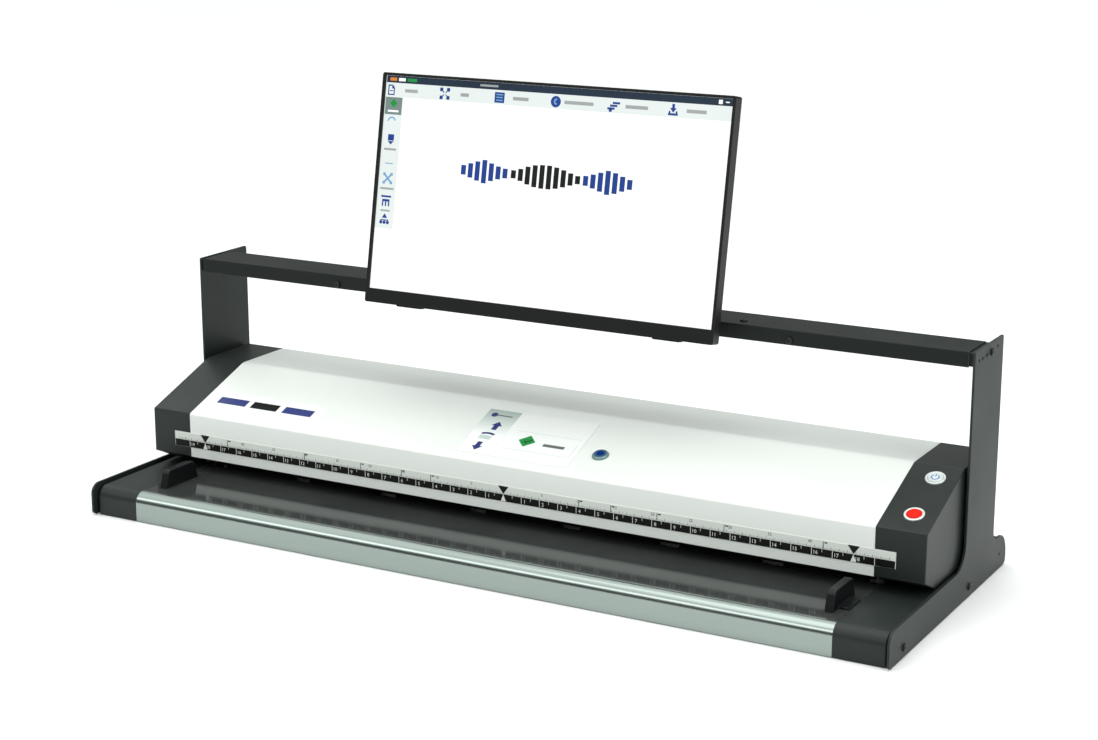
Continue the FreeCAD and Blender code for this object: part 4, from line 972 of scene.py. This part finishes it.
def monitor_front():
    """The thin frame round the screen, with a deeper chin."""
    def in_window(points):
        return all(abs(v.x) < SCREEN_HALF + CLOSE and SCREEN_BOTTOM - CLOSE < v.y < SCREEN_TOP + CLOSE
                   for v in points)

    bezel = block("monitor_frame", (-MONITOR_HALF, 0, -FRAME_DEEP), (MONITOR_HALF, MONITOR_TALL, 0))
    for point, normal in (((-SCREEN_HALF, 0, 0), (1, 0, 0)), ((SCREEN_HALF, 0, 0), (1, 0, 0)),
                          ((0, SCREEN_BOTTOM, 0), (0, 1, 0)), ((0, SCREEN_TOP, 0), (0, 1, 0))):
        slice_at(bezel, point, normal)
    drop_faces(bezel, in_window)
    open_edit(bezel)
    choose("EDGE", in_window)
    bpy.ops.mesh.bridge_edge_loops()
    close_edit()
    round_edges(bezel, lambda p: any(on(p, x=x, y=y) for x, y in MONITOR_CORNERS), CORNER_RADIUS, segments=8)
    round_edges(bezel, lambda p: on(p, z=0) and in_window(p), 0.6 * MM, segments=3)
    turn_into_place(bezel, ON_SCREEN)
    install(bezel, "display", "monitor_plastic", ("monitor_bezel",))


def monitor_rear():
    """The back shell: a shallow tray, a bulged centre, a row of vents and two chin tabs."""
    tray = block("monitor_shell", (-MONITOR_HALF, 0, -MONITOR_EDGE),
                 (MONITOR_HALF, MONITOR_TALL, -FRAME_DEEP))
    round_edges(tray, lambda p: any(on(p, x=x, y=y) for x, y in MONITOR_CORNERS), CORNER_RADIUS, segments=8)
    round_edges(tray, lambda p: on(p, z=-MONITOR_EDGE), 1.6 * MM, segments=4)
    drop_faces(tray, lambda p: on(p, z=-FRAME_DEEP))
    give_wall(tray, 2.5 * MM)
    bulge = block("back_bulge", (-BULGE_HALF, BULGE_BOTTOM, -BULGE_DEEP), (BULGE_HALF, BULGE_TOP, BULGE_ROOT))
    open_edit(bulge)
    choose("FACE", lambda p: on(p, z=-BULGE_DEEP))
    bpy.ops.transform.resize(value=(280 / 340, 160 / 210, 1),
                             center_override=(0, (BULGE_BOTTOM + BULGE_TOP) / 2, -BULGE_DEEP))
    close_edit()
    round_edges(bulge, lambda p: not on(p, z=BULGE_ROOT), 5 * MM, 35, 5)
    vents = [block("vent_cutter", ((x - 2) * MM, 226 * MM, -45 * MM), ((x + 2) * MM, 240 * MM, -24 * MM))
             for x in range(-102, 103, 12)]
    carve(bulge, add_on(*vents))
    tabs = [block("chin_tab", ((x - 18) * MM, -2 * MM, -14 * MM), ((x + 18) * MM, 0.5 * MM, -4 * MM))
            for x in TAB_PLACES]
    for tab in tabs:
        round_edges(tab, lambda p: True, 0.6 * MM, segments=2)
    turn_into_place(add_on(tray, bulge, *tabs), ON_SCREEN)
    install(tray, "display", "monitor_plastic", ("monitor_back",))


SCREEN_PLACE = (ON_SCREEN, "display", "display_glass")
SCREEN_FACE = -3.05
SCREEN_OVER = SCREEN_FACE + OVER
TITLE_HEIGHT = 284.6            # title bar
MENU_HEIGHT = 271.0             # icons of the menu row
MENU_PLACES = tuple(-233 + 79.5 * count for count in range(6))
LABEL_WIDTHS = (19, 12, 22, 40, 30, 26)
TOOLS = -228                    # middle of the tool column
WAVE_HEIGHT = 178.5
WAVE_BAR = 7                    # width of a level bar
TIP = 3                         # sides of a triangle
ROUND = 24                      # sides of a small disc


def screen_picture():
    """A generic imaging program: title and menu bars, a tool column and a row of level bars."""
    def bars(name, places, level, finish):
        marks_of_bars(name, places, level, *SCREEN_PLACE, finish)

    bars("screen_title", [(0, TITLE_HEIGHT, 482, 8.8)], SCREEN_FACE, NAVY)
    bars("screen_menus", [(0, 271.2, 482, 17.6), (TOOLS, 178.5, 27, 167)], SCREEN_FACE, PALE)
    bars("screen_tile", [(TOOLS, 251, 25, 22)], SCREEN_OVER, TILE)
    bars("title_orange", [(-231, TITLE_HEIGHT, 10, 4)], SCREEN_OVER, ORANGE)
    bars("title_green", [(-203, TITLE_HEIGHT, 14, 4)], SCREEN_OVER, LEAF)
    bars("title_pale", [(-218, TITLE_HEIGHT, 10, 4), (225, TITLE_HEIGHT, 5, 5), (234, TITLE_HEIGHT, 5, 1.4)],
         SCREEN_OVER, SCREEN_WHITE)
    labels = [(-90, TITLE_HEIGHT, 26, 2.6)]
    labels += [(x + 28 + wide * 0.1, MENU_HEIGHT, wide, 4.2) for x, wide in zip(MENU_PLACES, LABEL_WIDTHS)]
    labels += [(TOOLS, 196, 18, 2.6), (TOOLS, 146, 20, 2.6), (TOOLS, 118, 14, 2.2)]
    bars("screen_labels", labels, SCREEN_OVER, SCREEN_GREY)
    bars("tile_label", [(TOOLS, 244.4, 16, 2.4)], SCREEN_OVER + OVER, SCREEN_WHITE)
    leaf = start_marks("tile_diamond")
    add_disc(4, TOOLS, 254.4, 11, 11, SCREEN_OVER + OVER)
    hang_marks(leaf, *SCREEN_PLACE, LEAF)
    blue_icons()
    sky_icons()

    def level_bars(start, heights):
        return [(start + 10 * count, WAVE_HEIGHT, WAVE_BAR, tall) for count, tall in enumerate(heights)]

    sides = level_bars(-117, (12, 18, 24, 29, 22, 16, 12)) + level_bars(56, (12, 17, 23, 29, 25, 18, 12))
    bars("level_bars_blue", sides, SCREEN_FACE, SCREEN_BLUE)
    middle = level_bars(-45, (10, 15, 22, 27, 29, 29, 26, 21, 15, 10))
    bars("level_bars_dark", middle, SCREEN_FACE, SCREEN_BLACK)


def blue_icons():
    """The dark blue icons of the menu row, then those of the tool column."""
    icons = start_marks("screen_icons")
    level = SCREEN_OVER
    sheet, cross, grid, ring, stack, save = MENU_PLACES
    for x, y, wide, tall in ((-4.2, 0, 1.6, 13), (4.2, -1.8, 1.6, 9.4), (0, -5.8, 9, 1.6),
                             (-1.2, 5.8, 7, 1.6), (2.4, 3.4, 3.4, 3.4), (0, -1, 5, 1.2)):
        add_bar(sheet + x, MENU_HEIGHT + y, wide, tall, level)
    for dx, dy in ((-5, -5), (-5, 5), (5, -5), (5, 5)):
        add_bar(cross + dx, MENU_HEIGHT + dy, 4.6, 4.6, level)
        add_bar(cross + dx * 0.45, MENU_HEIGHT + dy * 0.45, 3.2, 1.3, level, 45 if dx * dy > 0 else -45)
    add_bar(grid, MENU_HEIGHT, 14, 13, level)
    add_disc(ROUND, ring, MENU_HEIGHT, 14, 14, level)
    for shift in (-3.4, 0, 3.4):
        add_bar(stack + shift, MENU_HEIGHT + shift, 10, 2.6, level)
    add_bar(stack - 4, MENU_HEIGHT - 5.4, 4, 4, level)
    add_disc(TIP, save, MENU_HEIGHT + 0.6, 9, 5.5, level, 180)
    for x, y, wide, tall in ((0, 4.6, 3.6, 5.6), (0, -5, 13, 2.6), (-4.6, -2.6, 2.2, 3), (4.6, -2.6, 2.2, 3)):
        add_bar(save + x, MENU_HEIGHT + y, wide, tall, level)
    add_bar(TOOLS, 211, 9, 8, level)
    add_disc(TIP, TOOLS, 204.8, 9, 4.5, level, 180)
    add_bar(TOOLS, 131, 11, 3, level)
    for dx in (-4.6, 0, 4.6):
        add_bar(TOOLS + dx, 126.5, 2, 6, level)
    add_bar(TOOLS, 136, 15, 2.4, level)
    add_disc(TIP, TOOLS, 110.5, 8, 6, level)
    for dx in (-5, 0, 5):
        add_disc(20, TOOLS + dx, 103, 4.6, 4.6, level)
    add_bar(TOOLS, 106, 12, 1.3, level)
    hang_marks(icons, *SCREEN_PLACE, SCREEN_BLUE)


def sky_icons():
    """The pale blue icons of the tool column, and the strokes over two dark ones."""
    pale = start_marks("screen_pale_icons")
    level = SCREEN_OVER
    add_arc(TOOLS - 1, 231, 5.4, 2, 20, 170, 9, level)
    add_bar(TOOLS, 178, 12, 1.2, level)
    for turn in (45, -45):
        add_bar(TOOLS, 159, 17, 2.6, level, turn)
    for dx, dy in ((-5.4, -5.4), (-5.4, 5.4), (5.4, -5.4), (5.4, 5.4)):
        add_bar(TOOLS + dx, 159 + dy, 3.6, 3.6, level)
    grid, ring = MENU_PLACES[2:4]
    for y in (-3.4, 0.2, 3.6):
        add_bar(grid, MENU_HEIGHT + y, 9.5, 1.5, level + OVER)
    add_arc(ring + 1.2, MENU_HEIGHT, 2.9, 1.9, 90, 270, 9, level + OVER)
    hang_marks(pale, *SCREEN_PLACE, SKY)


# ---------------------------- build

for side in (1, -1):
    side_panel(side)
    base_end_cap(side)
    head_end_cap(side)
    paper_guide(side)
crossbar_channel()
front_bar_skin()
head_shell()
ruler()
touch_panel_marks()
face_label()
status_lens()
button("power", POWER_ALONG, "power_cap")
button("stop", STOP_ALONG, "stop_cap")
button_rings()
power_mark()
monitor_front()
monitor_rear()
screen_picture()


# ---------------------------- studio

AIR_COLOUR = (0.965, 1.0, 0.975, 1.0)
DIM, FULL = 0.13, 1.62          # light from the air at eye level and from high up
DIM_HEIGHT, FULL_HEIGHT = 0.26, 0.8
BACKDROP = 1.04                 # the air as seen directly, so that it stays white
FLOOR_TONES = (0.93, 0.93, 0.93, 1), (0.95, 0.95, 0.95, 1)
LAMPS = (                       # name, place, aim, width, depth, watts
    ("overhead_softbox", (0.2, -0.4, 2.9), (0.0, -0.1, 0.0), 3.2, 2.0, 22),
    ("front_strip", (-1.8, -3.0, 2.2), (0.0, -0.2, 0.05), 3.2, 0.9, 23),
    ("right_softbox", (3.2, -0.5, 1.4), (0.3, 0.0, 0.2), 1.8, 1.8, 21),
)
CAMERA_PLACE = (1.2977, -2.2817, 0.8937)
CAMERA_TURN = tuple(math.radians(angle) for angle in (75.6, 0.0, 29.2))
FOCAL_LENGTH = 71.75
SENSOR_WIDTH = 36


def studio():
    """A white room: soft air, a pale floor, three soft lamps and the camera."""
    scene = bpy.context.scene
    scene.view_settings.view_transform = "Standard"
    world = bpy.data.worlds.new("studio_air")
    world.use_nodes = True
    air = Mixer(world.node_tree)
    direction = air.add("ShaderNodeTexCoord").outputs["Generated"]
    height = air.add("ShaderNodeSeparateXYZ", {0: direction}).outputs["Z"]
    backdrop = world.node_tree.nodes["Background"]
    backdrop.inputs["Color"].default_value = AIR_COLOUR
    seen = air.math("MULTIPLY", air.add("ShaderNodeLightPath").outputs["Is Camera Ray"], BACKDROP)
    shine = air.spread(height, DIM_HEIGHT, FULL_HEIGHT, DIM, FULL)
    air.feed(backdrop.inputs["Strength"], air.math("MAXIMUM", shine, seen))
    scene.world = world

    bpy.ops.object.select_all(action="DESELECT")
    bpy.ops.mesh.primitive_plane_add(size=40, location=(0, 0, 0))
    floor = bpy.context.active_object
    floor.name = "studio_floor"
    material, mixer, shader = start_finish("studio_floor", 0.6)
    shade = mixer.spread(mixer.noise(0.7, 2.0), 0.3, 0.7)
    mixer.feed(shader.inputs["Base Color"], mixer.blend(shade, *FLOOR_TONES))
    floor.data.materials.append(material)

    for name, spot, aim, size, depth, power in LAMPS:
        light = bpy.data.lights.new(name, "AREA")
        light.shape = "RECTANGLE"
        light.size = size
        light.size_y = depth
        light.energy = power
        lamp = bpy.data.objects.new(name, light)
        scene.collection.objects.link(lamp)
        lamp.location = spot
        lamp.rotation_euler = (Vector(aim) - Vector(spot)).to_track_quat("-Z", "Y").to_euler()

    lens = bpy.data.cameras.new("camera")
    lens.sensor_width = SENSOR_WIDTH
    lens.lens = FOCAL_LENGTH
    lens.clip_end = 60
    camera = bpy.data.objects.new("camera", lens)
    scene.collection.objects.link(camera)
    camera.location = CAMERA_PLACE
    camera.rotation_euler = CAMERA_TURN
    scene.camera = camera


studio()
